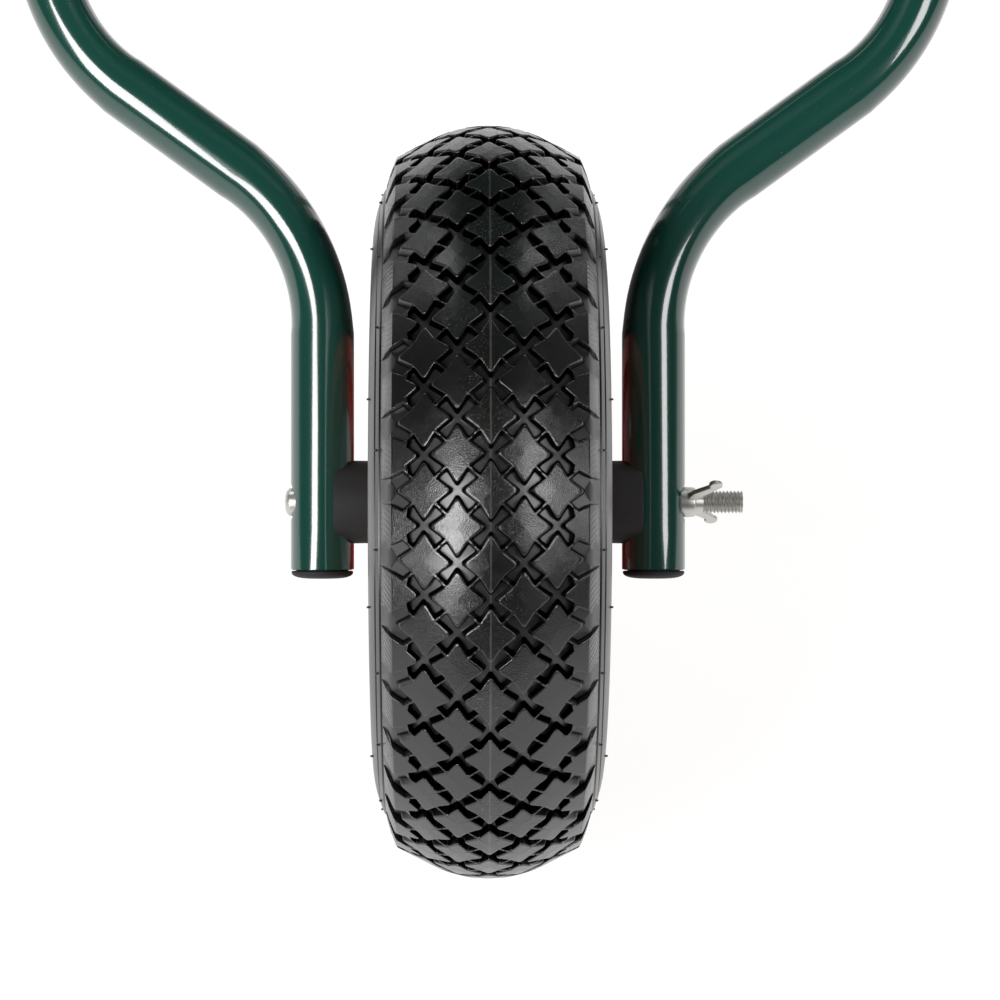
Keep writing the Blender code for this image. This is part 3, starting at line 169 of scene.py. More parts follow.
class BarrowMetalSizes(bpy.types.PropertyGroup):
    """Axle, nut and rim paint."""

    thread: length("Thread", "Pitch of the thread", 0.00125)
    bolt: length("Bolt", "Radius of the bolts", 0.004)
    wing_turn: angle("Wing turn", "Turn of the wing nut", 64)
    wing_span: length("Wing span", "Width over both wings", 0.032)
    wing_sheet: length("Wing thickness", "Thickness of a wing", 0.0018)
    zinc: colour("Zinc", "Colour of the plating", (0.70, 0.69, 0.66))
    red: colour("Rim paint", "Colour of the rim", (0.42, 0.020, 0.014))


class BarrowTubSizes(bpy.types.PropertyGroup):
    """Cloth tub and its sewing."""

    cloth: length("Cloth", "Thickness of the cloth", 0.0014)
    sag: length("Sag", "Sag of the bottom", 0.010)
    stitch: length("Stitch", "Length of a stitch", 0.0042)
    weave: FloatProperty(name="Weave", description="Threads a metre", default=1100.0)
    dye: colour("Cloth colour", "Colour of the cloth", (0.014, 0.066, 0.047))


class BarrowStageSizes(bpy.types.PropertyGroup):
    """Camera and lamps."""

    distance: length("Distance", "Camera to axle", 1.2)
    lens: FloatProperty(name="Lens", description="Focal length in millimetres", default=124.4)
    azimuth: angle("Azimuth", "Camera's turn about the picture's upright", -0.6)
    lamp: FloatProperty(name="Lamp", description="Strength of the left strip in watts", default=20.0)


def sizes(kind):
    return getattr(bpy.context.scene, f"barrow_{kind}")


def node(tree, kind, inputs=None, **settings):
    """Add a node, set its options, and link or set its inputs."""
    made = tree.nodes.new(kind)
    for key, value in settings.items():
        setattr(made, key, value)
    for key, value in (inputs or {}).items():
        if isinstance(value, bpy.types.NodeSocket):
            tree.links.new(value, made.inputs[key])
        else:
            made.inputs[key].default_value = value
    return made


def add_sockets(tree, inputs, outputs):
    """Give a node group its named sockets and return its two ends."""
    for name, kind, default in inputs:
        made = tree.interface.new_socket(name=name, in_out="INPUT", socket_type=f"NodeSocket{kind}")
        if default is not None:
            made.default_value = default
    for name, kind in outputs:
        tree.interface.new_socket(name=name, in_out="OUTPUT", socket_type=f"NodeSocket{kind}")
    return tree.nodes.new("NodeGroupInput"), tree.nodes.new("NodeGroupOutput")


def ramp(tree, factor, low, high, stops=(0.0, 1.0)):
    """A factor mapped between two values."""
    return node(
        tree,
        "ShaderNodeMapRange",
        {"Value": factor, "From Min": stops[0], "From Max": stops[1], "To Min": low, "To Max": high},
    ).outputs["Result"]


def maths(tree, first, second=None, operation="ADD"):
    inputs = {0: first} if second is None else {0: first, 1: second}
    return node(tree, "ShaderNodeMath", inputs, operation=operation).outputs[0]


def noise(tree, place, scale, detail):
    """Smooth noise over a place, from 0 to 1."""
    made = node(tree, "ShaderNodeTexNoise", {"Vector": place, "Scale": scale, "Detail": detail})
    return made.outputs["Fac"]


def stretched(tree, place, scale):
    return node(tree, "ShaderNodeMapping", {"Vector": place, "Scale": scale}).outputs["Vector"]


def leather_grain():
    """Shader group: fine leather grain of a mould, with its height and tone."""
    tree = bpy.data.node_groups.new("Leather grain", "ShaderNodeTree")
    ins, outs = add_sockets(
        tree,
        [("Vector", "Vector", None), ("Scale", "Float", 1400.0)],
        [("Height", "Float"), ("Tone", "Float")],
    )
    place, scale = ins.outputs["Vector"], ins.outputs["Scale"]
    cells = node(tree, "ShaderNodeTexVoronoi", {"Vector": place, "Scale": scale}, feature="SMOOTH_F1")
    height = maths(tree, cells.outputs["Distance"], noise(tree, place, scale, 3.0))
    tree.links.new(height, outs.inputs["Height"])
    tree.links.new(noise(tree, place, 60.0, 4.0), outs.inputs["Tone"])
    return tree


def paint_skin():
    """Shader group: the soft ripple of sprayed powder and its dust flecks."""
    tree = bpy.data.node_groups.new("Paint skin", "ShaderNodeTree")
    ins, outs = add_sockets(
        tree,
        [("Vector", "Vector", None), ("Ripple Scale", "Float", 260.0)],
        [("Height", "Float"), ("Tone", "Float"), ("Flecks", "Float")],
    )
    place = ins.outputs["Vector"]
    flecks = ramp(tree, noise(tree, place, 900.0, 2.0), 0.0, 1.0, (0.74, 0.80))
    tree.links.new(noise(tree, place, ins.outputs["Ripple Scale"], 1.0), outs.inputs["Height"])
    tree.links.new(noise(tree, place, 18.0, 3.0), outs.inputs["Tone"])
    tree.links.new(flecks, outs.inputs["Flecks"])
    return tree


def plating():
    """Shader group: drawn lines and patches of bright zinc."""
    tree = bpy.data.node_groups.new("Plating", "ShaderNodeTree")
    ins, outs = add_sockets(
        tree,
        [("Vector", "Vector", None)],
        [("Height", "Float"), ("Tone", "Float")],
    )
    place = ins.outputs["Vector"]
    drawn = noise(tree, stretched(tree, place, (3000.0, 350.0, 350.0)), 1.0, 2.0)
    patches = node(tree, "ShaderNodeTexVoronoi", {"Vector": place, "Scale": 420.0}, feature="F1")
    tree.links.new(drawn, outs.inputs["Height"])
    tree.links.new(patches.outputs["Distance"], outs.inputs["Tone"])
    return tree


def woven_cloth():
    """Shader group: plain weave over the cloth's own map, with its thread shade."""
    tree = bpy.data.node_groups.new("Woven cloth", "ShaderNodeTree")
    ins, outs = add_sockets(
        tree,
        [("Map", "Vector", None), ("Threads", "Float", 1100.0)],
        [("Height", "Float"), ("Tone", "Float")],
    )
    chart = ins.outputs["Map"]
    split = node(tree, "ShaderNodeSeparateXYZ", {"Vector": chart})
    waves = []
    for axis in ("X", "Y"):
        turns = maths(tree, split.outputs[axis], ins.outputs["Threads"], "MULTIPLY")
        half_turns = maths(tree, turns, math.pi, "MULTIPLY")
        waves.append(maths(tree, half_turns, operation="SINE"))
    crossing = maths(tree, *waves, "MULTIPLY")
    over = ramp(tree, crossing, 0.0, 1.0, (-0.6, 0.6))
    slub = noise(tree, stretched(tree, chart, (60.0, 900.0, 1.0)), 1.0, 3.0)
    tree.links.new(over, outs.inputs["Height"])
    tree.links.new(maths(tree, over, slub, "MULTIPLY"), outs.inputs["Tone"])
    return tree


def group_node(tree, name, maker, inputs):
    """Place a shared group, which is built the first time that it is asked for."""
    shared = bpy.data.node_groups.get(name) or maker()
    return node(tree, "ShaderNodeGroup", inputs, node_tree=shared)


def new_material(name, **constants):
    """A material with its Principled BSDF's plain values set, and its Object coordinates."""
    made = bpy.data.materials.new(name)
    made.use_nodes = True
    tree = made.node_tree
    shader = tree.nodes["Principled BSDF"]
    for key, value in constants.items():
        shader.inputs[key].default_value = value
    place = tree.nodes.new("ShaderNodeTexCoord").outputs["Object"]
    return made, tree, shader, place


def mixed(tree, factor, first, second):
    """Two colours mixed by a factor."""
    made = node(tree, "ShaderNodeMix", data_type="RGBA")
    tree.links.new(factor, made.inputs[0])
    for socket, colour in ((made.inputs[6], first), (made.inputs[7], second)):
        if isinstance(colour, bpy.types.NodeSocket):
            tree.links.new(colour, socket)
        else:
            socket.default_value = (*colour, 1.0)
    return made.outputs[2]


def bump(tree, shader, height, distance, strength=1.0):
    made = node(tree, "ShaderNodeBump", {"Height": height, "Distance": distance, "Strength": strength})
    tree.links.new(made.outputs["Normal"], shader.inputs["Normal"])
    return made


def painted(name, colour, gloss=0.16):
    """Glossy powder coat."""
    made, tree, shader, place = new_material(name, **{"Coat Weight": 1.0, "Coat Roughness": 0.05})
    skin = group_node(tree, "Paint skin", paint_skin, {"Vector": place})
    lighter = tuple(min(1.0, part * 1.25 + 0.002) for part in colour)
    body = mixed(tree, skin.outputs["Tone"], colour, lighter)
    dusty = tuple(0.5 * part + 0.12 for part in colour)
    tree.links.new(mixed(tree, skin.outputs["Flecks"], body, dusty), shader.inputs["Base Color"])
    tree.links.new(ramp(tree, skin.outputs["Tone"], gloss, gloss + 0.05), shader.inputs["Roughness"])
    bump(tree, shader, skin.outputs["Height"], 0.00006, 0.35)
    return made


# Colours on the tyre: painted shade for the pocket walls, gap walls and sidewall grooves, the mould seam
# and road dust
POCKET_SHADE_COLOUR = (0.0018, 0.0018, 0.0018)
SEAM_COLOUR = (0.052, 0.047, 0.039)
DUST_COLOUR = (0.080, 0.078, 0.070)
# Half width of the seam where it is thin and where it is thick, and the pitch of the hatching
SEAM_HALF = (0.00018, 0.00046)
HATCH_PITCH = 0.0021


def masked(tree, *masks):
    """Several masks multiplied."""
    whole = masks[0]
    for mask in masks[1:]:
        whole = maths(tree, whole, mask, "MULTIPLY")
    return whole


def tread_rubber():
    """Tyre rubber: grained blocks, smooth pockets, a paler mould seam, hatched shoulder faces and painted
    shade on the pocket walls.
    """
    rubber = tuple(sizes("tyre").rubber)
    made, tree, shader, place = new_material("tread_rubber", **{"Specular IOR Level": 0.85})
    smooth, hatch, wall = (
        node(tree, "ShaderNodeAttribute", attribute_name=name).outputs["Fac"]
        for name in ("pocket", "hatch", "wall")
    )
    grain = group_node(tree, "Leather grain", leather_grain, {"Vector": place, "Scale": 3000.0})
    split = node(tree, "ShaderNodeSeparateXYZ", {"Vector": place})
    lateral = maths(tree, split.outputs["X"], operation="ABSOLUTE")
    ragged = ramp(tree, noise(tree, place, 240.0, 3.0), *SEAM_HALF, (0.3, 0.7))
    seam = maths(tree, lateral, ragged, "LESS_THAN")
    worn = tuple(part * 1.7 for part in rubber)
    base = mixed(tree, grain.outputs["Tone"], rubber, worn)
    wide = noise(tree, place, 35.0, 4.0)
    specks = ramp(tree, noise(tree, place, 1500.0, 1.0), 0.0, 1.0, (0.62, 0.68))
    patch = ramp(tree, wide, 0.0, 1.0, (0.42, 0.60))
    dust = masked(tree, specks, patch, ramp(tree, lateral, 0.8, 0.15, (0.003, 0.018)))
    dusty = mixed(tree, dust, base, DUST_COLOUR)
    seamed = mixed(tree, seam, dusty, SEAM_COLOUR)
    # Painted shade: where the wall layer is set, the colour goes near black and Metallic takes the
    # reflections away, so the walls read as shadowed
    tree.links.new(mixed(tree, wall, seamed, POCKET_SHADE_COLOUR), shader.inputs["Base Color"])
    tree.links.new(wall, shader.inputs["Metallic"])
    satin = ramp(tree, wide, 0.19, 0.27, (0.3, 0.7))
    duller = maths(tree, smooth, 0.10, "MULTIPLY")
    tree.links.new(maths(tree, satin, duller), shader.inputs["Roughness"])
    rise = maths(tree, split.outputs["Z"], -AXLE.z)
    run = maths(tree, split.outputs["Y"], -AXLE.y)
    turn = maths(tree, rise, run, "ARCTAN2")
    slanted = maths(tree, maths(tree, turn, TYRE_R, "MULTIPLY"), lateral)
    stripes = maths(tree, slanted, 2 * math.pi / HATCH_PITCH, "MULTIPLY")
    hatched = masked(tree, maths(tree, stripes, operation="SINE"), hatch)
    grained = masked(tree, grain.outputs["Height"], maths(tree, 1.0, smooth, "SUBTRACT"))
    bump(tree, shader, maths(tree, grained, hatched), 0.000065, 0.8)
    return made


def plain_rubber(name, colour, roughness, scale=900.0):
    """Moulded rubber or plastic with a fine spark grain."""
    made, tree, shader, place = new_material(name)
    grain = group_node(tree, "Leather grain", leather_grain, {"Vector": place, "Scale": scale})
    lighter = tuple(part * 1.5 for part in colour)
    tree.links.new(mixed(tree, grain.outputs["Tone"], colour, lighter), shader.inputs["Base Color"])
    satin = ramp(tree, grain.outputs["Tone"], roughness - 0.06, roughness + 0.06)
    tree.links.new(satin, shader.inputs["Roughness"])
    bump(tree, shader, grain.outputs["Height"], 0.00005, 0.6)
    return made


def plated(name, colour, roughness=0.24):
    """Bright plated or turned metal."""
    made, tree, shader, place = new_material(name, Metallic=1.0)
    skin = group_node(tree, "Plating", plating, {"Vector": place})
    warm = (colour[0], colour[1] * 0.97, colour[2] * 0.88)
    cool = tuple(part * 0.86 for part in colour)
    tree.links.new(mixed(tree, skin.outputs["Tone"], warm, cool), shader.inputs["Base Color"])
    tree.links.new(
        ramp(tree, skin.outputs["Tone"], roughness - 0.05, roughness + 0.10), shader.inputs["Roughness"]
    )
    bump(tree, shader, skin.outputs["Height"], 0.00002, 0.5)
    return made


def tub_fabric():
    """Coated woven cloth, read from the piece's own map in metres."""
    size = sizes("tub")
    sheen = {"Sheen Weight": 0.12, "Sheen Roughness": 0.5}
    made, tree, shader, place = new_material("tub_fabric", **sheen)
    chart = node(tree, "ShaderNodeUVMap", uv_map="cloth").outputs["UV"]
    cloth = group_node(tree, "Woven cloth", woven_cloth, {"Map": chart, "Threads": size.weave})
    colour = tuple(size.dye)
    dark = tuple(part * 0.72 for part in colour)
    light = tuple(part * 1.55 + 0.003 for part in colour)
    woven = mixed(tree, cloth.outputs["Tone"], dark, light)
    cloud = ramp(tree, noise(tree, place, 9.0, 4.0), 0.0, 0.25)
    faded = mixed(tree, cloud, woven, (0.05, 0.09, 0.07))
    tree.links.new(faded, shader.inputs["Base Color"])
    tree.links.new(ramp(tree, cloth.outputs["Height"], 0.50, 0.66), shader.inputs["Roughness"])
    bump(tree, shader, cloth.outputs["Height"], 0.00022, 0.8)
    return made


def yarn():
    """Sewing thread, with its two plies."""
    made, tree, shader, place = new_material("sewing_yarn", **{"Sheen Weight": 0.3, "Roughness": 0.6})
    plies = node(tree, "ShaderNodeTexWave", {"Vector": place, "Scale": 900.0, "Distortion": 1.5})
    thread = mixed(tree, plies.outputs["Fac"], (0.04, 0.12, 0.09), (0.10, 0.22, 0.17))
    tree.links.new(thread, shader.inputs["Base Color"])
    bump(tree, shader, plies.outputs["Fac"], 0.00005, 0.5)
    return made


MAKERS = {
    "green_paint": lambda: painted("green_paint", tuple(sizes("tubes").paint)),
    "red_paint": lambda: painted("red_paint", tuple(sizes("metal").red), 0.2),
    "tread_rubber": tread_rubber,
    "hand_rubber": lambda: plain_rubber("hand_rubber", (0.016, 0.016, 0.017), 0.62),
    "air_rubber": lambda: plain_rubber("air_rubber", (0.022, 0.022, 0.023), 0.5, 500.0),
    "black_plastic": lambda: plain_rubber("black_plastic", (0.012, 0.012, 0.013), 0.36, 1300.0),
    "nylon": lambda: plain_rubber("nylon", (0.55, 0.54, 0.50), 0.4, 600.0),
    "zinc": lambda: plated("zinc", tuple(sizes("metal").zinc)),
    "brass": lambda: plated("brass", (0.72, 0.53, 0.24), 0.22),
    "tub_fabric": tub_fabric,
    "sewing_yarn": yarn,
}


def look(name):
    """A finish by name, made the first time that it is asked for."""
    return bpy.data.materials.get(name) or MAKERS[name]()


def new_piece(name, mesh, finish, sharp=math.radians(38)):
    """Turn a bmesh in place into an object of one finish, smooth but for its sharp edges."""
    data = bpy.data.meshes.new(name)
    mesh.to_mesh(data)
    mesh.free()
    data.shade_smooth()
    data.set_sharp_from_angle(angle=sharp)
    data.materials.append(look(finish))
    made = bpy.data.objects.new(name, data)
    bpy.context.scene.collection.objects.link(made)
    return made


def settle(piece, body, slot, *nodes):
    """Ride on a body and stand for CAD nodes, which are hidden; the slot is not used."""
    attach(piece, body)
    if nodes:
        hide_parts(*nodes)
    return piece


def smoothed(piece, sharp=math.radians(30)):
    """Shade a frozen piece smooth but for its sharp edges."""
    piece.data.shade_smooth()
    piece.data.set_sharp_from_angle(angle=sharp)
    return piece


def frozen(made, name):
    """Replace an object by its evaluated mesh, with no modifiers left."""
    graph = bpy.context.evaluated_depsgraph_get()
    data = bpy.data.meshes.new_from_object(made.evaluated_get(graph), depsgraph=graph)
    bpy.data.objects.remove(made, do_unlink=True)
    data.name = name
    plain = bpy.data.objects.new(name, data)
    bpy.context.scene.collection.objects.link(plain)
    return plain


def bridge(mesh, lower, upper, closed=True):
    """Faces between two rows of as many points."""
    count = len(lower)
    made = []
    for side in range(count if closed else count - 1):
        after = (side + 1) % count
        made.append(mesh.faces.new((lower[side], lower[after], upper[after], upper[side])))
    return made


def circle(mesh, x, radius, sides):
    """Ring of points round X."""
    turns = (2 * math.pi * side / sides for side in range(sides))
    return [mesh.verts.new((x, radius * math.cos(turn), radius * math.sin(turn))) for turn in turns]


def loft(mesh, rings):
    """Closed form through rings of as many points, capped at both ends."""
    for lower, upper in zip(rings, rings[1:]):
        bridge(mesh, lower, upper)
    mesh.faces.new(rings[0])
    mesh.faces.new(rings[-1])
    bmesh.ops.recalc_face_normals(mesh, faces=mesh.faces)
    return mesh


def rounded(before, corner, after, cut, steps):
    """Points that round a corner between its two neighbours."""
    ends = []
    for other in (before, after):
        length = (other - corner).length
        ends.append(corner + (other - corner) * (min(cut, 0.45 * length) / length))
    shares = [step / steps for step in range(steps + 1)]
    return [tuple(ends[0].lerp(corner, s).lerp(corner.lerp(ends[1], s), s)) for s in shares]


def softened(profile, cut, steps=3):
    """A closed outline of (x, radius) with its corners rounded, but for those on the axis."""
    points = [Vector(point) for point in profile]
    soft = []
    for before, corner, after in zip(points[-1:] + points, points, points[1:] + points[:1]):
        if corner.y <= 0.0:
            soft.append(tuple(corner))
        else:
            soft += rounded(before, corner, after, cut, steps)
    return soft


def turned(profile, segments=64, lobes=0, lobe_share=None):
    """Bmesh turned about X from a closed outline of (x, radius)."""
    mesh = bmesh.new()
    rings = []
    for x, radius in profile:
        if radius <= 0.0:
            rings.append([mesh.verts.new((x, 0.0, 0.0))])
            continue
        ring = []
        for segment in range(segments):
            angle = 2 * math.pi * segment / segments
            share = lobe_share(x, radius) if lobe_share else 0.0
            reach = radius * (1 - share * (1 + math.cos(lobes * angle)) / 2)
            ring.append(mesh.verts.new((x, reach * math.cos(angle), reach * math.sin(angle))))
        rings.append(ring)
    for first, second in zip(rings, rings[1:] + rings[:1]):
        if len(first) == 1 and len(second) == 1:
            continue
        if len(first) == 1 or len(second) == 1:
            pole, ring = (first[0], second) if len(first) == 1 else (second[0], first)
            for side in range(segments):
                mesh.faces.new((pole, ring[side], ring[(side + 1) % segments]))
            continue
        bridge(mesh, first, second)
    bmesh.ops.recalc_face_normals(mesh, faces=mesh.faces)
    return mesh


def pointing(way):
    """Turn that lays X along a direction."""
    return way.to_track_quat("X", "Z").to_matrix().to_4x4()


def placed(mesh, matrix):
    bmesh.ops.transform(mesh, matrix=matrix, verts=mesh.verts)
    if matrix.determinant() < 0:
        bmesh.ops.reverse_faces(mesh, faces=mesh.faces)
    return mesh


def merged(*meshes):
    """Several bmeshes as one."""
    whole = meshes[0]
    for other in meshes[1:]:
        data = bpy.data.meshes.new("part")
        other.to_mesh(data)
        other.free()
        whole.from_mesh(data)
        bpy.data.meshes.remove(data)
    return whole


def subtract(piece, *cutters):
    """Cut pieces away with exact booleans and leave a plain mesh."""
    name = piece.name
    for cutter in cutters:
        step = piece.modifiers.new("cut", "BOOLEAN")
        step.operation = "DIFFERENCE"
        step.object = cutter
    made = frozen(piece, name)
    for cutter in cutters:
        bpy.data.objects.remove(cutter, do_unlink=True)
    return smoothed(made)


def cylinder(name, start, end, radius, sides=64):
    """Plain round cutter."""
    mesh = bmesh.new()
    span = end - start
    bmesh.ops.create_cone(
        mesh, cap_ends=True, segments=sides, radius1=radius, radius2=radius, depth=span.length
    )
    turn = span.to_track_quat("Z", "Y").to_matrix().to_4x4()
    placed(mesh, Matrix.Translation((start + end) / 2) @ turn)
    return new_piece(name, mesh, "zinc")


def copies_tree():
    """Geometry Nodes: copies of a piece turned about the X axis, joined and given a finish."""
    tree = bpy.data.node_groups.new("Ring of copies", "GeometryNodeTree")
    ins, outs = add_sockets(
        tree,
        [
            ("Geometry", "Geometry", None),
            ("Copies", "Int", 4),
            ("Start", "Float", 0.0),
            ("Merge", "Float", 0.0),
            ("Centre", "Vector", None),
            ("Finish", "Material", None),
        ],
        [("Geometry", "Geometry")],
    )
    spots = node(tree, "GeometryNodePoints", {"Count": ins.outputs["Copies"]})
    index = node(tree, "GeometryNodeInputIndex").outputs[0]
    step = maths(tree, 2 * math.pi, ins.outputs["Copies"], "DIVIDE")
    angle = maths(tree, maths(tree, index, step, "MULTIPLY"), ins.outputs["Start"])
    turn = node(tree, "ShaderNodeCombineXYZ", {"X": angle}).outputs[0]
    put = node(
        tree,
        "GeometryNodeInstanceOnPoints",
        {"Points": spots.outputs[0], "Instance": ins.outputs["Geometry"], "Rotation": turn},
    )
    real = node(tree, "GeometryNodeRealizeInstances", {"Geometry": put.outputs[0]})
    joined = node(
        tree, "GeometryNodeMergeByDistance", {"Geometry": real.outputs[0], "Distance": ins.outputs["Merge"]}
    )
    moved = node(
        tree, "GeometryNodeTransform", {"Geometry": joined.outputs[0], "Translation": ins.outputs["Centre"]}
    )
    dressed = node(
        tree, "GeometryNodeSetMaterial", {"Geometry": moved.outputs[0], "Material": ins.outputs["Finish"]}
    )
    tree.links.new(dressed.outputs[0], outs.inputs[0])
    return tree


def path_tree():
    """Geometry Nodes: copies of a piece along a line of points, each a little unlike the next."""
    tree = bpy.data.node_groups.new("Row on a path", "GeometryNodeTree")
    ins, outs = add_sockets(
        tree,
        [
            ("Geometry", "Geometry", None),
            ("Piece", "Object", None),
            ("Spacing", "Float", 0.004),
            ("Unevenness", "Float", 0.1),
            ("Finish", "Material", None),
        ],
        [("Geometry", "Geometry")],
    )
    line = node(tree, "GeometryNodeMeshToCurve", {"Mesh": ins.outputs["Geometry"]})
    even = node(
        tree,
        "GeometryNodeResampleCurve",
        {"Curve": line.outputs[0], "Length": ins.outputs["Spacing"]},
        mode="LENGTH",
    )
    tangent = node(tree, "GeometryNodeInputTangent").outputs[0]
    turn = node(tree, "FunctionNodeAlignRotationToVector", {"Vector": tangent}, axis="X").outputs[0]
    shape = node(tree, "GeometryNodeObjectInfo", {"Object": ins.outputs["Piece"]}).outputs["Geometry"]
    low = maths(tree, 1.0, ins.outputs["Unevenness"], "SUBTRACT")
    high = maths(tree, 1.0, ins.outputs["Unevenness"])
    chance = node(tree, "FunctionNodeRandomValue", {"Seed": 7}, data_type="FLOAT")
    tree.links.new(low, chance.inputs[2])
    tree.links.new(high, chance.inputs[3])
    put = node(
        tree,
        "GeometryNodeInstanceOnPoints",
        {
            "Points": even.outputs[0],
            "Instance": shape,
            "Rotation": turn,
            "Scale": chance.outputs[1],
        },
    )
    real = node(tree, "GeometryNodeRealizeInstances", {"Geometry": put.outputs[0]})
    dressed = node(
        tree, "GeometryNodeSetMaterial", {"Geometry": real.outputs[0], "Material": ins.outputs["Finish"]}
    )
    tree.links.new(dressed.outputs[0], outs.inputs[0])
    return tree


def with_nodes(base, tree_name, maker, values, name):
    """Run a named Geometry Nodes tree on an object and keep its result as a plain mesh."""
    tree = bpy.data.node_groups.get(tree_name) or maker()
    step = base.modifiers.new(tree_name, "NODES")
    step.node_group = tree
    for item in tree.interface.items_tree:
        if item.in_out == "INPUT" and item.name in values:
            step[item.identifier] = values[item.name]
    base.update_tag()
    bpy.context.view_layer.update()
    return frozen(base, name)


def ring_of(tile, name, copies, finish, merge=0.0, start=0.0, centre=AXLE):
    values = {
        "Copies": copies,
        "Start": start,
        "Merge": merge,
        "Centre": tuple(centre),
        "Finish": look(finish),
    }
    return with_nodes(tile, "Ring of copies", copies_tree, values, name)


def row_on(paths, seed_piece, name, spacing, finish, unevenness=0.1):
    """Copies of a small piece along one or more lines of points."""
    mesh = bmesh.new()
    for points, closed in paths:
        line = [mesh.verts.new(point) for point in points]
        for first, second in zip(line, line[1:]):
            mesh.edges.new((first, second))
        if closed:
            mesh.edges.new((line[-1], line[0]))
    base = new_piece(f"{name}_path", mesh, finish)
    values = {
        "Piece": seed_piece,
        "Spacing": spacing,
        "Unevenness": unevenness,
        "Finish": look(finish),
    }
    made = with_nodes(base, "Row on a path", path_tree, values, name)
    made.data.shade_smooth()
    return made


def bead_seed(radius, name="bead_seed"):
    """One flattened drop of a weld bead."""
    mesh = bmesh.new()
    bmesh.ops.create_uvsphere(mesh, u_segments=10, v_segments=6, radius=radius)
    bmesh.ops.scale(mesh, vec=(0.75, 1.0, 1.0), verts=mesh.verts)
    return new_piece(name, mesh, "zinc")


def stitch_seed(length, thickness):
    """One stitch: a short thread that dips into the cloth at both ends."""
    mesh = bmesh.new()
    steps = 6
    rings = []
    for step in range(steps + 1):
        share = step / steps
        x = (share - 0.5) * length * 0.8
        lift = thickness * (0.9 * math.sin(math.pi * share) - 0.3)
        girth = thickness * (0.55 + 0.45 * math.sin(math.pi * share))
        ring = []
        for side in range(6):
            angle = math.pi * side / 3
            ring.append(mesh.verts.new((x, girth * math.cos(angle), lift + girth * math.sin(angle))))
        rings.append(ring)
    return new_piece("stitch_seed", loft(mesh, rings), "sewing_yarn")


# Tyre form shared by the tread and the sidewalls
ROW_STEP = 3
WIDEST_RADIUS = 0.091
SHOULDER_FOOT = 0.1095
FOOT_SPREAD = 1.07
RIM_FLANGE = 0.0270
BEAD_RADIUS = 0.0521
BEAD_TOE = 0.0210
LINER = ((0.0292, 0.068), (0.0350, 0.093), (0.0297, 0.111), (0.0165, 0.1212))
LINER_CROWN = 0.1225
SIDE_RIBS = ((0.1086, -0.0006, 0.0014), (0.1048, -0.0005, 0.0013), (0.0668, 0.0006, 0.0016))
WALL_RADII = (0.1068, 0.1030, 0.1005, 0.0980, 0.0955, 0.0930, 0.0900)
WALL_RADII += (0.0870, 0.0840, 0.0800, 0.0765, 0.0735, 0.0700)
SEAM_TURN = math.radians(132.45)
MERGE = 0.00002


def crown_at(size, lateral):
    """Radius of the tread surface."""
    knee = size.crown * math.sin(size.slope)
    reach = abs(lateral)
    if reach <= knee:
        return TYRE_R - size.crown + math.sqrt(size.crown**2 - reach**2)
    at_knee = TYRE_R - size.crown * (1 - math.cos(size.slope))
    return at_knee - (reach - knee) * math.tan(size.slope)


def sidewall_half(size, radius):
    """Half width of the tyre below its shoulder."""
    if radius > WIDEST_RADIUS:
        return math.sqrt(TYRE_HALF**2 - (radius - WIDEST_RADIUS) ** 2)
    share = (WIDEST_RADIUS - radius) / (WIDEST_RADIUS - RIM_LIP)
    return TYRE_HALF - (TYRE_HALF - RIM_FLANGE - 0.002) * share**2


# Wall of a pocket from top to floor: how far in, share of the depth, and how much painted shade it takes
POCKET_WALL = ((0.00010, 0.12, 1.0), (0.00075, 1.0, 1.0), (0.00095, 1.0, 0.0))


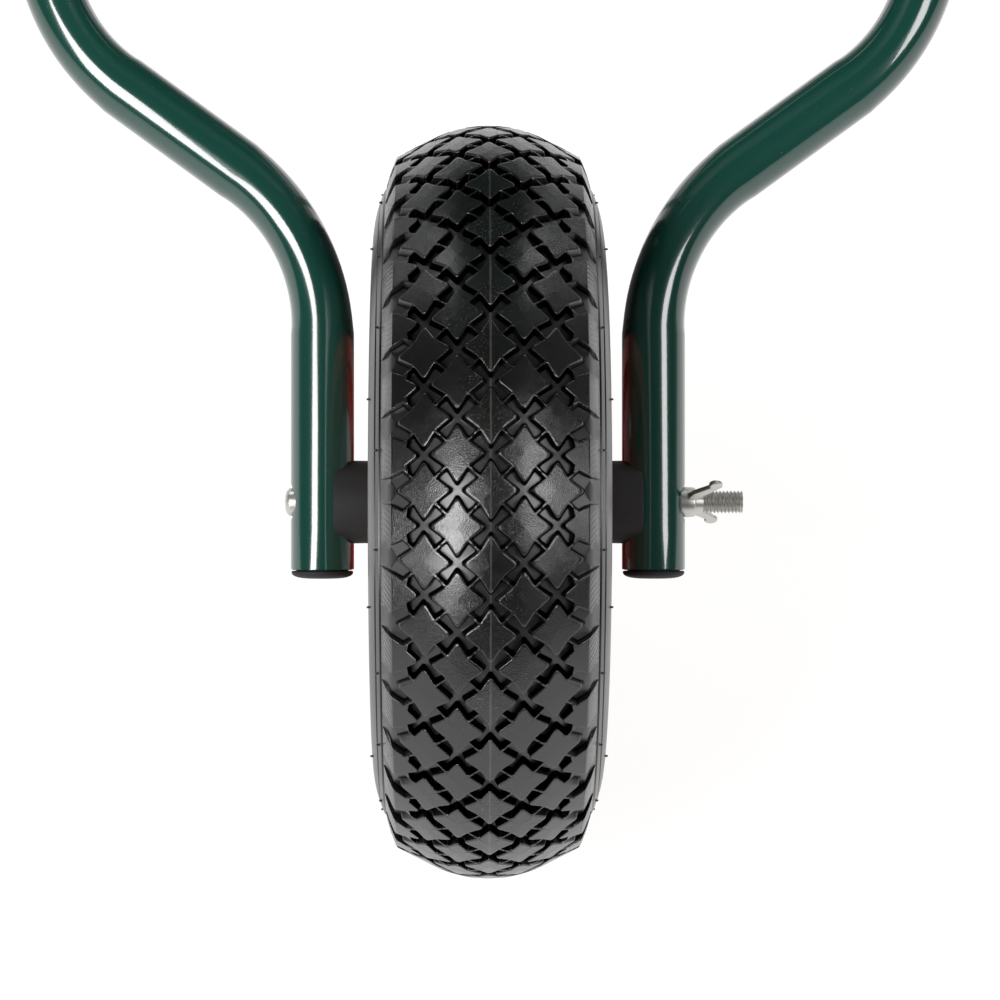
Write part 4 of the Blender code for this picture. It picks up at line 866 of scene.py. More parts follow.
class TreadTile:
    """One pitch of the tyre, laid out flat as (lateral, distance round the crown) and wrapped."""

    def __init__(self, size):
        self.size = size
        self.mesh = bmesh.new()
        self.pocket = self.mesh.verts.layers.float.new("pocket")
        self.hatch = self.mesh.verts.layers.float.new("hatch")
        # The wall layer holds painted shade: 1 makes the rubber near black and without reflections
        self.wall = self.mesh.verts.layers.float.new("wall")
        self.arc = 2 * math.pi * TYRE_R / size.pitches
        self.step = size.shoulder / ROW_STEP
        half_edge = Vector((self.step, self.arc / 2))
        self.reach = half_edge.length / 2 - size.tie / 2
        self.along = half_edge.normalized()

    def vert(self, lateral, distance, radius, pocket=0.0, hatch=0.0, wall=0.0):
        angle = distance / TYRE_R
        made = self.mesh.verts.new((lateral, radius * math.cos(angle), radius * math.sin(angle)))
        made[self.pocket] = pocket
        made[self.hatch] = hatch
        made[self.wall] = wall
        return made

    def ring(self, points, depth, pocket=0.0, wall=0.0):
        return [self.vert(p.x, p.y, crown_at(self.size, p.x) - depth, pocket, 0.0, wall) for p in points]

    def side(self, crossing, arm, facing, draft=0.0):
        """Points of one side of a pocket, from the crossing to the pocket's end."""
        su, sv = arm
        waist = self.size.waist - draft
        flare = self.size.flare - draft
        along = Vector((su * self.along.x, sv * self.along.y))
        if facing == "u":
            outward = Vector((su, 0.0))
            corner = crossing + outward * (waist / self.along.y)
            normal = Vector((su * self.along.y, -sv * self.along.x))
        else:
            outward = Vector((0.0, sv))
            corner = crossing + outward * (waist / self.along.x)
            normal = Vector((-su * self.along.y, sv * self.along.x))
        reach = self.reach - draft
        small = 0.33 * self.size.corner
        end = crossing + along * (reach - small) + normal * flare
        edge = (end - corner).normalized()
        twin = 2 * outward * edge.dot(outward) - edge
        round_off = self.size.corner
        return [
            corner + 0.293 * round_off * (edge + twin),
            corner + round_off * (0.617 * edge + 0.076 * twin),
            corner + round_off * edge,
            end,
            crossing + along * (reach - 0.29 * small) + normal * (flare - 0.29 * small),
            crossing + along * reach + normal * (flare - small),
        ]

    def tip(self, crossing, arm, draft=0.0):
        along = Vector((arm[0] * self.along.x, arm[1] * self.along.y))
        return crossing + along * (self.reach - draft)

    def pocket_outline(self, crossing, arms, draft=0.0):
        """Outline of the pockets that meet at a crossing, in order round it."""
        points = []
        for su, sv in arms:
            first, second = ("u", "v") if su * sv > 0 else ("v", "u")
            leading = self.side(crossing, (su, sv), first, draft)
            trailing = self.side(crossing, (su, sv), second, draft)
            points += [*leading, self.tip(crossing, (su, sv), draft), *trailing[:0:-1]]
        return points

    def add_crossing(self, crossing):
        """A recess of four pockets, with drafted walls and a floor."""
        arms = ((1, 1), (-1, 1), (-1, -1), (1, -1))
        size = self.size
        upper = self.ring(self.pocket_outline(crossing, arms), size.edge)
        rings = [upper]
        for draft, depth, wall in POCKET_WALL:
            outline = self.pocket_outline(crossing, arms, draft)
            # The pocket's wall rings take painted shade from the table's last column
            rings.append(self.ring(outline, size.edge + (size.depth - size.edge) * depth, 1.0, wall))
        for higher, lower in zip(rings, rings[1:]):
            bridge(self.mesh, higher, lower)
        centre = self.ring([crossing], size.depth, 1.0)[0]
        self.fan(centre, rings[-1])

    def fan(self, centre, ring):
        for index, corner in enumerate(ring):
            self.mesh.faces.new((centre, corner, ring[(index + 1) % len(ring)]))

    def add_top(self, outline, centre):
        """The crowned top of a block, with its rounded edge."""
        size = self.size
        rings = [self.ring(outline, size.edge)]
        for inset, depth in ((0.35, 0.35), (1.2, 0.0)):
            moved = []
            for point in outline:
                inward = centre - point
                moved.append(point + inward.normalized() * size.edge * inset)
            rings.append(self.ring(moved, size.edge * depth))
        rings.append(self.ring([point.lerp(centre, 0.15) for point in outline], 0.0))
        for outer, inner in zip(rings, rings[1:]):
            bridge(self.mesh, outer, inner)
        self.fan(self.ring([centre], 0.0)[0], rings[-1])

    def add_diamond(self, centre):
        """A whole block between four crossings."""
        right = centre + Vector((self.step, 0.0))
        top = centre + Vector((0.0, self.arc / 2))
        left = centre - Vector((self.step, 0.0))
        bottom = centre - Vector((0.0, self.arc / 2))
        edges = (
            (right, (-1, 1), "u", top, (1, -1), "v"),
            (top, (-1, -1), "v", left, (1, 1), "u"),
            (left, (1, -1), "u", bottom, (-1, 1), "v"),
            (bottom, (1, 1), "v", right, (-1, -1), "u"),
        )
        outline = []
        for start, leaving, start_face, end, arriving, end_face in edges:
            outline += self.side(start, leaving, start_face)
            outline.append(self.tip(start, leaving))
            outline.append(self.tip(end, arriving))
            outline += self.side(end, arriving, end_face)[:0:-1]
        self.add_top(outline, centre)

    def foot(self, way, distance):
        return self.vert(way * sidewall_half(self.size, SHOULDER_FOOT), distance, SHOULDER_FOOT)

    def add_shoulder(self, way):
        """The raised block at the tread's edge, its hatched side, and the gap beside it."""
        size = self.size
        edge = way * size.shoulder
        grip = size.block_share * self.arc / 2
        foot_grip = grip * FOOT_SPREAD
        inner = Vector((edge - way * self.step, 0.0))
        above = Vector((edge, self.arc / 2))
        below = Vector((edge, -self.arc / 2))
        brow = [Vector((edge, grip * share)) for share in (1.0, 0.5, 0.0, -0.5, -1.0)]
        outline = self.side(inner, (way, 1), "u")
        outline += [self.tip(inner, (way, 1)), self.tip(above, (-way, -1))]
        outline.append(self.side(above, (-way, -1), "v")[-1])
        outline += brow
        outline.append(self.side(below, (-way, 1), "v")[-1])
        outline += [self.tip(below, (-way, 1)), self.tip(inner, (way, -1))]
        outline += self.side(inner, (way, -1), "u")[:0:-1]
        self.add_top(outline, Vector((edge - way * self.step * 0.42, 0.0)))
        rows = []
        top_radius = crown_at(size, size.shoulder) - size.edge
        foot_half = sidewall_half(size, SHOULDER_FOOT)
        for share in (0.0, 0.06, 0.5, 0.94, 1.0):
            lateral = size.shoulder + (foot_half - size.shoulder) * share
            lateral += 0.0004 * math.sin(math.pi * share) ** 0.5
            radius = top_radius + (SHOULDER_FOOT - top_radius) * share
            spread = 1 + (FOOT_SPREAD - 1) * share
            rows.append([self.vert(way * lateral, p.y * spread, radius, 0.0, 1.0) for p in brow])
        for upper, lower in zip(rows, rows[1:]):
            bridge(self.mesh, upper, lower, closed=False)
        self.add_gap(way, above, grip, foot_grip, rows)

    def add_gap(self, way, above, grip, foot_grip, rows):
        """The open gap at the tread's edge, with the two pockets that run into it."""
        size = self.size
        arms = ((-way, -1), (-way, 1))
        upper, lower, inner = [], [], []
        for draft, points in ((0.0, upper), (0.0004, lower), (0.0008, inner)):
            points.append(Vector((above.x, grip + draft)))
            first = self.side(above, arms[0], "v", draft)[-1]
            points += [first, self.tip(above, arms[0], draft)]
            points += self.side(above, arms[0], "u", draft)[:0:-1]
            points += self.side(above, arms[1], "u", draft)
            points += [self.tip(above, arms[1], draft), self.side(above, arms[1], "v", draft)[-1]]
            points.append(Vector((above.x, self.arc - grip - draft)))
        top = self.ring(upper, size.edge)
        # The gap's floor edge takes painted shade through the wall layer
        floor = self.ring(lower, size.depth, 1.0, 1.0)
        bridge(self.mesh, top, floor, closed=False)
        middle = self.ring(inner, size.depth, 1.0)
        bridge(self.mesh, floor, middle, closed=False)
        span = self.arc - 2 * foot_grip
        feet = [self.foot(way, foot_grip + span * share / 4) for share in range(5)]
        floor_radius = crown_at(size, size.shoulder) - size.depth
        shelf_radius = (floor_radius + SHOULDER_FOOT) / 2
        shelf_half = (size.shoulder + sidewall_half(size, SHOULDER_FOOT)) / 2 - 0.0003
        shelf_from, shelf_run = grip * 1.035, (self.arc - 2.07 * grip) / 4
        shelf = [
            self.vert(way * shelf_half, shelf_from + shelf_run * share, shelf_radius, 1.0)
            for share in range(5)
        ]
        sill_run = (self.arc - 2 * grip) / 4
        sill = [middle[-1]]
        for share in (1, 2, 3):
            sill.append(self.vert(above.x, self.arc - grip - sill_run * share, floor_radius, 1.0))
        sill.append(middle[0])
        centre = self.ring([above - Vector((way * self.step * 0.25, 0.0))], size.depth, 1.0)[0]
        self.fan(centre, middle + sill[1:-1])
        bridge(self.mesh, sill[::-1], shelf, closed=False)
        bridge(self.mesh, shelf, feet, closed=False)
        for start in (0, -1):
            edge_top = [line[start] for line in rows]
            low = [middle[start], shelf[start], feet[start]]
            self.close_gap_side(edge_top, low, floor[start], start)

    def close_gap_side(self, edge_top, lower, corner, start):
        """The wall between a shoulder block's side and the gap, which runs out at its foot."""
        lines = [self.mesh.verts.new(vert.co) for vert in edge_top]
        if start:
            spin = Matrix.Rotation(self.arc / TYRE_R, 3, "X")
            for vert in lines:
                vert.co = spin @ vert.co
        # Painted shade along the top of the gap's side wall, fading towards its foot
        for vert in lines:
            vert[self.wall] = 1.0
        self.mesh.faces.new([*lines, *lower[::-1], corner])

    def add_sidewall(self, way):
        """Concentric ribs, the wall, the bead and the liner inside."""
        size = self.size
        grip = size.block_share * self.arc / 2 * FOOT_SPREAD
        span = self.arc - 2 * grip
        phases = [grip * share for share in (-1.0, -0.5, 0.0, 0.5)]
        phases += [grip + span * share / 4 for share in range(5)]
        section = []
        for radius, rise, width in SIDE_RIBS:
            for offset, lift in ((0.5, 0.0), (0.32, 1.0), (-0.32, 1.0), (-0.5, 0.0)):
                at = radius + offset * width
                # Grooves (ribs that sink) take painted shade in the wall layer, carried below as dark
                section.append((sidewall_half(size, at) + lift * rise, at, lift if rise < 0 else 0.0))
        for radius in (*WALL_RADII, SHOULDER_FOOT):
            section.append((sidewall_half(size, radius), radius, 0.0))
        section.sort(key=lambda spot: -spot[1])
        section = [(min(half, TYRE_HALF), radius, dark) for half, radius, dark in section]
        inside = [(RIM_FLANGE + 0.0005, RIM_LIP + 0.001), (RIM_FLANGE, RIM_LIP - 0.002)]
        inside += [(RIM_FLANGE, BEAD_RADIUS + 0.002), (RIM_FLANGE - 0.002, BEAD_RADIUS)]
        inside += [(BEAD_TOE, BEAD_RADIUS), *LINER, (0.0, LINER_CROWN)]
        section += [(half, radius, 0.0) for half, radius in inside]
        rings = []
        for half, radius, dark in section:
            rings.append([self.vert(way * half, phase, radius, 1.0, 0.0, dark) for phase in phases])
        for upper, lower in zip(rings, rings[1:]):
            bridge(self.mesh, upper, lower, closed=False)


def tread_tile(size):
    """Mesh of one pitch of the tyre."""
    tile = TreadTile(size)
    half_arc = tile.arc / 2
    for row in range(-2, 3):
        shift = half_arc if row % 2 else 0.0
        tile.add_crossing(Vector((row * tile.step, shift)))
        tile.add_diamond(Vector((row * tile.step, half_arc - shift)))
    for way in (-1, 1):
        tile.add_shoulder(way)
        tile.add_sidewall(way)
    mesh = tile.mesh
    bmesh.ops.remove_doubles(mesh, verts=mesh.verts, dist=MERGE)
    return mesh


def make_tyre():
    size = sizes("tyre")
    mesh = tread_tile(size)
    tile = new_piece("tread_tile", mesh, "tread_rubber")
    tyre = ring_of(tile, "tyre_rubber", size.pitches, "tread_rubber", merge=MERGE, start=SEAM_TURN)
    mesh = bmesh.new()
    mesh.from_mesh(tyre.data)
    bmesh.ops.recalc_face_normals(mesh, faces=mesh.faces)
    mesh.to_mesh(tyre.data)
    mesh.free()
    settle(smoothed(tyre, math.radians(42)), "wheel", "tyre_rubber", "tyre")
    hair = softened([(-0.0002, 0.0), (-0.0002, 0.00045), (0.0009, 0.0003), (0.0009, 0.0)], 0.0001, 2)
    nibs = []
    for way in (-1, 1):
        for turn, radius in ((0.0, 0.1064), (0.21, 0.0975), (0.40, 0.1064)):
            spoke = (way * sidewall_half(size, radius), radius * math.cos(turn), radius * math.sin(turn))
            turn_out = pointing(Vector((way, 0.0, 0.0)))
            nibs.append(placed(turned(hair, 8), Matrix.Translation(spoke) @ turn_out))
    nib_tile = new_piece("nib_tile", merged(*nibs), "tread_rubber")
    nib_ring = ring_of(nib_tile, "tyre_vent_hairs", 9, "tread_rubber", start=0.3)
    nib_ring.data.shade_smooth()
    settle(nib_ring, "wheel", "tyre_rubber")


def make_wheel_centre():
    """Rim halves with their bolts, the hub with its bushes, and the inner tube with its valve."""
    sheet = 0.002
    seat = 0.0516
    path = [(0.0003, 0.0112), (0.0003, 0.036), (0.0068, 0.0462), (0.0138, 0.0500), (0.0168, seat)]
    path += [(0.0250, seat), (0.0268, seat + 0.0015), (RIM_FLANGE, RIM_LIP - 0.006)]
    path += [(0.0282, RIM_LIP - 0.0020), (0.0298, RIM_LIP - 0.0004)]
    line = [Vector(spot) for spot in softened_line(path, 0.0022)]
    normals = []
    for index, point in enumerate(line):
        along = (line[min(index + 1, len(line) - 1)] - line[max(index - 1, 0)]).normalized()
        normals.append(Vector((along.y, -along.x)))
    outer = [tuple(p + n * sheet) for p, n in zip(line, normals)]
    closed = [*map(tuple, line), *reversed(outer)]
    for name, side in SIDES:
        profile = [(side * x, radius) for x, radius in closed]
        mesh = placed(turned(profile, 120), Matrix.Translation(AXLE))
        half = new_piece(f"rim_{name}_painted", mesh, "red_paint")
        settle(half, "wheel", "rim_red", f"rim_half_{name}")
    make_inner_tube()
    hexagon = bolt_mesh(0.0058, 0.0045, 0.003, 2 * 0.0045 + 0.012)
    placed(hexagon, Matrix.Translation((-0.0072, 0.0275, 0.0)))
    tile = new_piece("rim_bolt_tile", hexagon, "zinc")
    bolts = ring_of(tile, "rim_bolts_plated", 4, "zinc", start=math.radians(45))
    names = [f"rim_{kind}_{number}" for kind in ("bolt", "nut") for number in range(1, 5)]
    settle(smoothed(bolts), "wheel", "zinc", *names)
    hub = sleeve_profile(-HUB_HALF, HUB_HALF, 0.0100, 0.0128)
    flange = sleeve_profile(-0.0026, -0.0056, 0.0120, 0.0345)
    mesh = merged(turned(softened(hub, 0.0004), 64), turned(softened(flange, 0.0005), 96))
    piece = new_piece("hub_plated", placed(mesh, Matrix.Translation(AXLE)), "zinc")
    settle(piece, "wheel", "zinc", "hub_tube")
    for name, side in SIDES:
        profile = [
            (HUB_HALF - 0.015, 0.0062), (HUB_HALF - 0.015, 0.0094), (HUB_HALF, 0.0094),
            (HUB_HALF + 0.0003, 0.0134), (HUB_END, 0.0134), (HUB_END, 0.0062),
        ]
        mesh = turned([(side * x, radius) for x, radius in softened(profile, 0.0005)], 64)
        piece = new_piece(f"bush_{name}_moulded", placed(mesh, Matrix.Translation(AXLE)), "nylon")
        settle(piece, "wheel", "nylon", f"bush_{name}")


# Inner tube: half width, half height and middle radius, then the valve's foot and lean
AIR_HALF = 0.0325
AIR_RISE = 0.0315
AIR_MIDDLE = 0.0889
VALVE_FOOT = Vector((0.0120, 0.0, 0.0606))
VALVE_WAY = Vector((0.3667, 0.0, -0.9303))


def make_inner_tube():
    """Air tube inside the tyre, its valve stem through the right rim half and the knurled cap."""
    mesh = bmesh.new()
    rings = []
    for segment in range(96):
        turn = 2 * math.pi * segment / 96
        ring = []
        for side in range(32):
            angle = 2 * math.pi * side / 32
            radius = AIR_MIDDLE + AIR_RISE * math.sin(angle)
            spot = (AIR_HALF * math.cos(angle), radius * math.cos(turn), radius * math.sin(turn))
            ring.append(mesh.verts.new(spot))
        rings.append(ring)
    for first, second in zip(rings, rings[1:] + rings[:1]):
        bridge(mesh, first, second)
    bmesh.ops.recalc_face_normals(mesh, faces=mesh.faces)
    piece = new_piece("inner_tube_moulded", placed(mesh, Matrix.Translation(AXLE)), "air_rubber")
    settle(piece, "wheel", "tube_rubber", "inner_tube")
    place = Matrix.Translation(AXLE + VALVE_FOOT) @ pointing(VALVE_WAY)
    stem = [(0.0004, 0.0), (0.0004, 0.0074), (0.0016, 0.0066), (0.0042, 0.0041), (0.0200, 0.0037)]
    stem += [(0.0204, 0.0030), (0.0215, 0.0030), (0.0219, 0.0036), (0.0298, 0.0036), (0.0298, 0.0)]
    mesh = turned(softened(stem, 0.0004), 48)
    piece = new_piece("valve_stem_moulded", placed(mesh, place), "air_rubber")
    settle(piece, "wheel", "tube_rubber", "valve_stem")
    cap = [(0.0312, 0.0), (0.0305, 0.0032), (0.0290, 0.0050), (0.0236, 0.0052)]
    cap += [(0.0232, 0.0052), (0.0232, 0.0042), (0.0303, 0.0042), (0.0303, 0.0)]

    def knurl(x, radius):
        return 0.05 if radius > 0.0049 else 0.0

    mesh = turned(softened(cap, 0.0004), 96, 16, knurl)
    piece = new_piece("valve_cap_moulded", placed(mesh, place), "black_plastic")
    settle(piece, "wheel", "black_plastic", "valve_cap")


def sleeve_profile(start, end, bore, outer):
    """Outline of a plain sleeve between two places."""
    return [(start, bore), (start, outer), (end, outer), (end, bore)]


def softened_line(points, cut, steps=4):
    """An open line with its inner corners rounded."""
    points = [Vector(point) for point in points]
    soft = [tuple(points[0])]
    for before, corner, after in zip(points, points[1:], points[2:]):
        soft += rounded(before, corner, after, cut, steps)
    soft.append(tuple(points[-1]))
    return soft


def bolt_mesh(across, height, radius, length):
    """Hexagon bolt along X with its nut and washer faces."""
    mesh = bmesh.new()
    cut = 0.0006
    for start, end in ((0.0, height), (length - height, length)):
        spots = ((start, 0.93), (start + cut, 1.0), (end - cut, 1.0), (end, 0.93))
        loft(mesh, [circle(mesh, x, across * share, 6) for x, share in spots])
    near, far = -0.002, length + 0.002
    shank = softened([(near, 0.0), (near, radius), (far, radius), (far, 0.0)], 0.0005)
    return merged(mesh, turned(shank, 32))


def in_fork(lateral, distance, lift=0.0):
    """Row-frame point of a place in the fork's own plane."""
    return fork_matrix() @ Vector((lateral, distance, lift))


def fork_matrix():
    return Matrix.Translation(AXLE) @ Matrix.Rotation(sizes("tubes").pitch, 4, "X")


def leg_matrix():
    return Matrix.Translation(PIVOT) @ Matrix.Rotation(sizes("tubes").pitch + math.pi / 2, 4, "X")


def frame_line(size):
    """Corners of the right frame tube in the fork's plane, with its two directions."""
    lower = Vector((size.fork, size.lower_at, 0.0))
    upper = lower + size.crossover * Vector((math.sin(size.lower_turn), math.cos(size.lower_turn), 0.0))
    run = Vector((math.sin(size.splay), math.cos(size.splay), 0.0))
    corner = upper + run * ((size.handle_at - upper.y) / run.y)
    drop = size.pitch - size.handle_rise
    grip = Vector((run.x, run.y * math.cos(drop), -run.y * math.sin(drop)))
    foot = Vector((size.fork, -size.tail, 0.0))
    return [foot, lower, upper, corner, corner + size.handle * grip], run, grip


def lateral_at(size, distance):
    """Lateral place of the frame tube's centre on its long straight run."""
    corners, run, _ = frame_line(size)
    return corners[2].x + (distance - corners[2].y) * run.x / run.y


def bent_path(corners, radii, turn_step=math.radians(2.5)):
    """Points of straight runs joined by arcs, each with its spoke and its share of flattening."""
    path = [(corners[0], None, 0.0)]
    for before, corner, after, radius in zip(corners, corners[1:], corners[2:], radii):
        arriving = (corner - before).normalized()
        leaving = (after - corner).normalized()
        turn = arriving.angle(leaving)
        inward = (leaving - arriving).normalized()
        centre = corner + inward * (radius / math.cos(turn / 2))
        start = corner - arriving * (radius * math.tan(turn / 2)) - centre
        axis = arriving.cross(leaving).normalized()
        steps = max(2, round(turn / turn_step))
        for step in range(steps + 1):
            spoke = Quaternion(axis, turn * step / steps) @ start
            share = math.sin(math.pi * step / steps) ** 0.6 if 0 < step < steps else 0.0
            path.append((centre + spoke, spoke.normalized(), share))
    path.append((corners[-1], None, 0.0))
    return path


def swept(path, radius, wall, flattening, sides=64, bore=0.016):
    """Round tube along a path, flattened in its bends, with open mouths and rounded lips."""
    mesh = bmesh.new()
    points = [point for point, _, _ in path]
    across = None
    rings = []
    for index, (point, spoke, share) in enumerate(path):
        arriving = (point - points[max(index - 1, 0)]).normalized()
        leaving = (points[min(index + 1, len(points) - 1)] - point).normalized()
        tangent = (arriving + leaving).normalized()
        if across is None:
            across = tangent.orthogonal()
        across = (across - tangent * across.dot(tangent)).normalized()
        upward = tangent.cross(across)
        shapes = [(0.0, radius)]
        if index in (0, len(path) - 1):
            way = 1 if index == 0 else -1
            lip = 0.12 * wall
            shapes = [(way * lip * 3, radius), (way * lip, radius - 0.3 * lip), (0.0, radius - lip * 3)]
            shapes += [(0.0, radius - wall + lip), (way * lip, radius - wall), (way * bore, radius - wall)]
            if index == 0:
                shapes.reverse()
        for shift, reach in shapes:
            ring = []
            for side in range(sides):
                angle = 2 * math.pi * side / sides
                offset = reach * (math.cos(angle) * across + math.sin(angle) * upward)
                if spoke is not None:
                    offset -= flattening * share * offset.dot(spoke) * spoke
                ring.append(mesh.verts.new(point + tangent * shift + offset))
            rings.append(ring)
    return loft(mesh, rings)


# Play between a saddle and its tube, and the bore that the bolts run in
FIT = 0.0001
BOLT_BORE = 0.0045
# Pressed seats of the axle on the fork's tubes
DIMPLE_RADIUS = 0.0058
DIMPLE_EDGE = 0.0006
DIMPLE_DEPTH = 0.0026


def dimpled(mesh, side, size):
    """Press a round flat into the outside of a tube where the axle passes."""
    flat = size.fork + size.radius - DIMPLE_DEPTH
    for vert in mesh.verts:
        outward = side * vert.co.x
        away = math.hypot(vert.co.y, vert.co.z)
        if outward < size.fork or away > DIMPLE_RADIUS + DIMPLE_EDGE:
            continue
        share = min(1.0, max(0.0, (DIMPLE_RADIUS + DIMPLE_EDGE - away) / DIMPLE_EDGE))
        share = share * share * (3 - 2 * share)
        if outward > flat:
            vert.co.x = side * (outward + (flat - outward) * share)
    return mesh


def saddle_tube(name, half, cutters_at, matrix):
    """Straight cross tube along X whose ends fit the tubes beside it."""
    size = sizes("tubes")
    path = [(Vector((end, 0.0, 0.0)), None, 0.0) for end in (-half, half)]
    mesh = placed(swept(path, size.radius, size.wall, 0.0), matrix)
    tube = new_piece(name, mesh, "green_paint")
    reach = size.radius - FIT
    cutters = [cylinder(f"{name}_cutter", start, end, reach, 128) for start, end in cutters_at]
    return subtract(tube, *cutters)


def saddled(piece, centre, reach, matrix):
    """Cut the seat of a side tube into a piece."""
    radius = sizes("tubes").radius + FIT
    cutter = cylinder("saddle_cutter", matrix @ (centre - reach), matrix @ (centre + reach), radius, 160)
    return subtract(piece, cutter)


def weld_path(half, place, turn, beside, matrix):
    """Points of the weld round one end of a cross tube that meets a tube turned in the plane."""
    size = sizes("tubes")
    points = []
    for step in range(72):
        angle = 2 * math.pi * step / 72
        rise = size.radius * math.sin(angle)
        run = size.radius * math.cos(angle)
        gap = math.sqrt(max(size.radius**2 - rise**2, 0.0) + 0.0008**2)
        x = beside - gap / math.cos(turn) + run * math.tan(turn)
        points.append(matrix @ Vector((half * x, place + run, rise)))
    return points


def make_frame_tubes():
    """The two bent tubes, their cross tubes and the welds."""
    size = sizes("tubes")
    corners, run, grip = frame_line(size)
    matrix = fork_matrix()
    radii = (size.lower_radius, size.upper_radius, size.handle_radius)
    for name, side in SIDES:
        path = bent_path([Vector((side * c.x, c.y, c.z)) for c in corners], radii)
        seat = [(Vector((side * size.fork, 0.0003 * step, 0.0)), None, 0.0) for step in range(-32, 33)]
        path[1:1] = seat
        mesh = dimpled(swept(path, size.radius, size.wall, size.flattening, 144), side, size)
        mesh = placed(mesh, matrix)
        tube = new_piece(f"side_tube_{name}_painted", mesh, "green_paint", math.radians(55))
        settle(tube, "main_frame", "frame_green", f"side_tube_{name}")
    welds = []
    for name, distance in (("front", size.front_bar), ("rear", size.rear_bar)):
        beside = lateral_at(size, distance)
        cutters = []
        for _, side in SIDES:
            centre = Vector((side * beside, distance, 0.0))
            reach = Vector((side * run.x, run.y, 0.0)) * 3 * size.radius
            cutters.append((matrix @ (centre - reach), matrix @ (centre + reach)))
        place = matrix @ Matrix.Translation((0.0, distance, 0.0))
        tube = saddle_tube(f"{name}_cross_tube_painted", beside, cutters, place)
        settle(tube, "main_frame", "frame_green", f"{name}_cross_tube")
        welds += [(weld_path(side, distance, size.splay, beside, matrix), True) for _, side in SIDES]
    add_welds("frame_welds", welds, "main_frame")


def add_welds(name, paths, body):
    size = sizes("tubes")
    seed_piece = bead_seed(size.bead)
    made = row_on(paths, seed_piece, name, size.bead * 0.62, "green_paint", 0.14)
    bpy.data.objects.remove(seed_piece, do_unlink=True)
    settle(made, body, "frame_green")
    return made


def make_tube_ends():
    """Domed plugs in the lower ends and ribbed grips on the handles."""
    size = sizes("tubes")
    corners, _, grip = frame_line(size)
    matrix = fork_matrix()
    rim = size.radius - 0.0003
    turns = (0.1, 0.35, 0.6, 0.85, 1.1, 1.35)
    dome = [(0.0010 + 0.0021 * math.sin(turn), rim * math.cos(turn) ** 0.5) for turn in turns]
    plug = [(-0.014, 0.0), (-0.014, 0.0085), (-0.012, 0.0091), (0.0004, 0.0091), (0.0004, rim - 0.0002)]
    plug += [(0.0007, rim), *dome, (0.0031, 0.0)]
    ribs, span = 7, 0.120
    pitch = 0.096 / ribs
    bore, outer = size.radius + 0.0002, size.radius + 0.0045
    profile = [(span, 0.0), (span, bore), (0.0, bore), (0.0, outer + 0.0018)]
    profile += [(0.0008, outer + 0.0022), (0.0052, outer + 0.0022), (0.0064, outer + 0.0004)]
    for rib in range(ribs):
        start = 0.012 + rib * pitch
        profile += [(start, outer - 0.0013), (start + 0.45 * pitch, outer - 0.0010)]
        profile += [(start + 0.55 * pitch, outer), (start + 0.92 * pitch, outer)]
    profile += [(span - 0.011, outer - 0.0011), (span - 0.007, outer)]
    profile += [(span + 0.0033, outer), (span + 0.0053, outer - 0.002), (span + 0.0053, 0.0)]
    for name, side in SIDES:
        mesh = turned(softened(plug, 0.0002, 2), 96)
        turn = Matrix.Rotation(-math.pi / 2, 4, "Z")
        placed(mesh, matrix @ Matrix.Translation((side * size.fork, -size.tail, 0.0)) @ turn)
        piece = new_piece(f"tube_plug_{name}_moulded", mesh, "black_plastic")
        settle(piece, "main_frame", "black_plastic", f"tube_plug_{name}")
        way = Vector((side * grip.x, grip.y, grip.z))
        end = Vector((side * corners[-1].x, corners[-1].y, corners[-1].z))
        mesh = turned(softened(profile, 0.0007, 2), 80)
        placed(mesh, matrix @ Matrix.Translation(end - span * way) @ pointing(way))
        piece = new_piece(f"grip_{name}_moulded", mesh, "hand_rubber")
        settle(piece, "main_frame", "grip_rubber", f"grip_{name}")


def threaded(start, end, radius, pitch, sides=72):
    """Helical thread along X between two places, with its ends faded out."""
    mesh = bmesh.new()
    depth = 0.54 * pitch
    per_pitch = 8
    count = round((end - start) / pitch * per_pitch)
    rings = []
    for step in range(count + 1):
        x = start + (end - start) * step / count
        fade = min(1.0, (end - x) / (0.8 * pitch), (x - start) / (0.8 * pitch) + 0.001)
        ring = []
        for side in range(sides):
            angle = 2 * math.pi * side / sides
            phase = (x / pitch - side / sides) % 1.0
            tooth = max(0.0, min(1.0, abs(phase - 0.5) * 2.6 - 0.15))
            reach = radius - depth * tooth - 0.0007 * max(0.0, 1 - (end - x) / (0.8 * pitch))
            reach = radius - (radius - reach) * max(fade, 0.15)
            ring.append(mesh.verts.new((x, reach * math.cos(angle), reach * math.sin(angle))))
        rings.append(ring)
    return loft(mesh, rings)


# Domed head of the axle bolt, as rises over its seat and radii
AXLE_HEAD = (
    (0.0045, 0.0),
    (0.0044, 0.0022),
    (0.0040, 0.0038),
    (0.0030, 0.0048),
    (0.0004, 0.0050),
    (0.0, 0.0050),
)


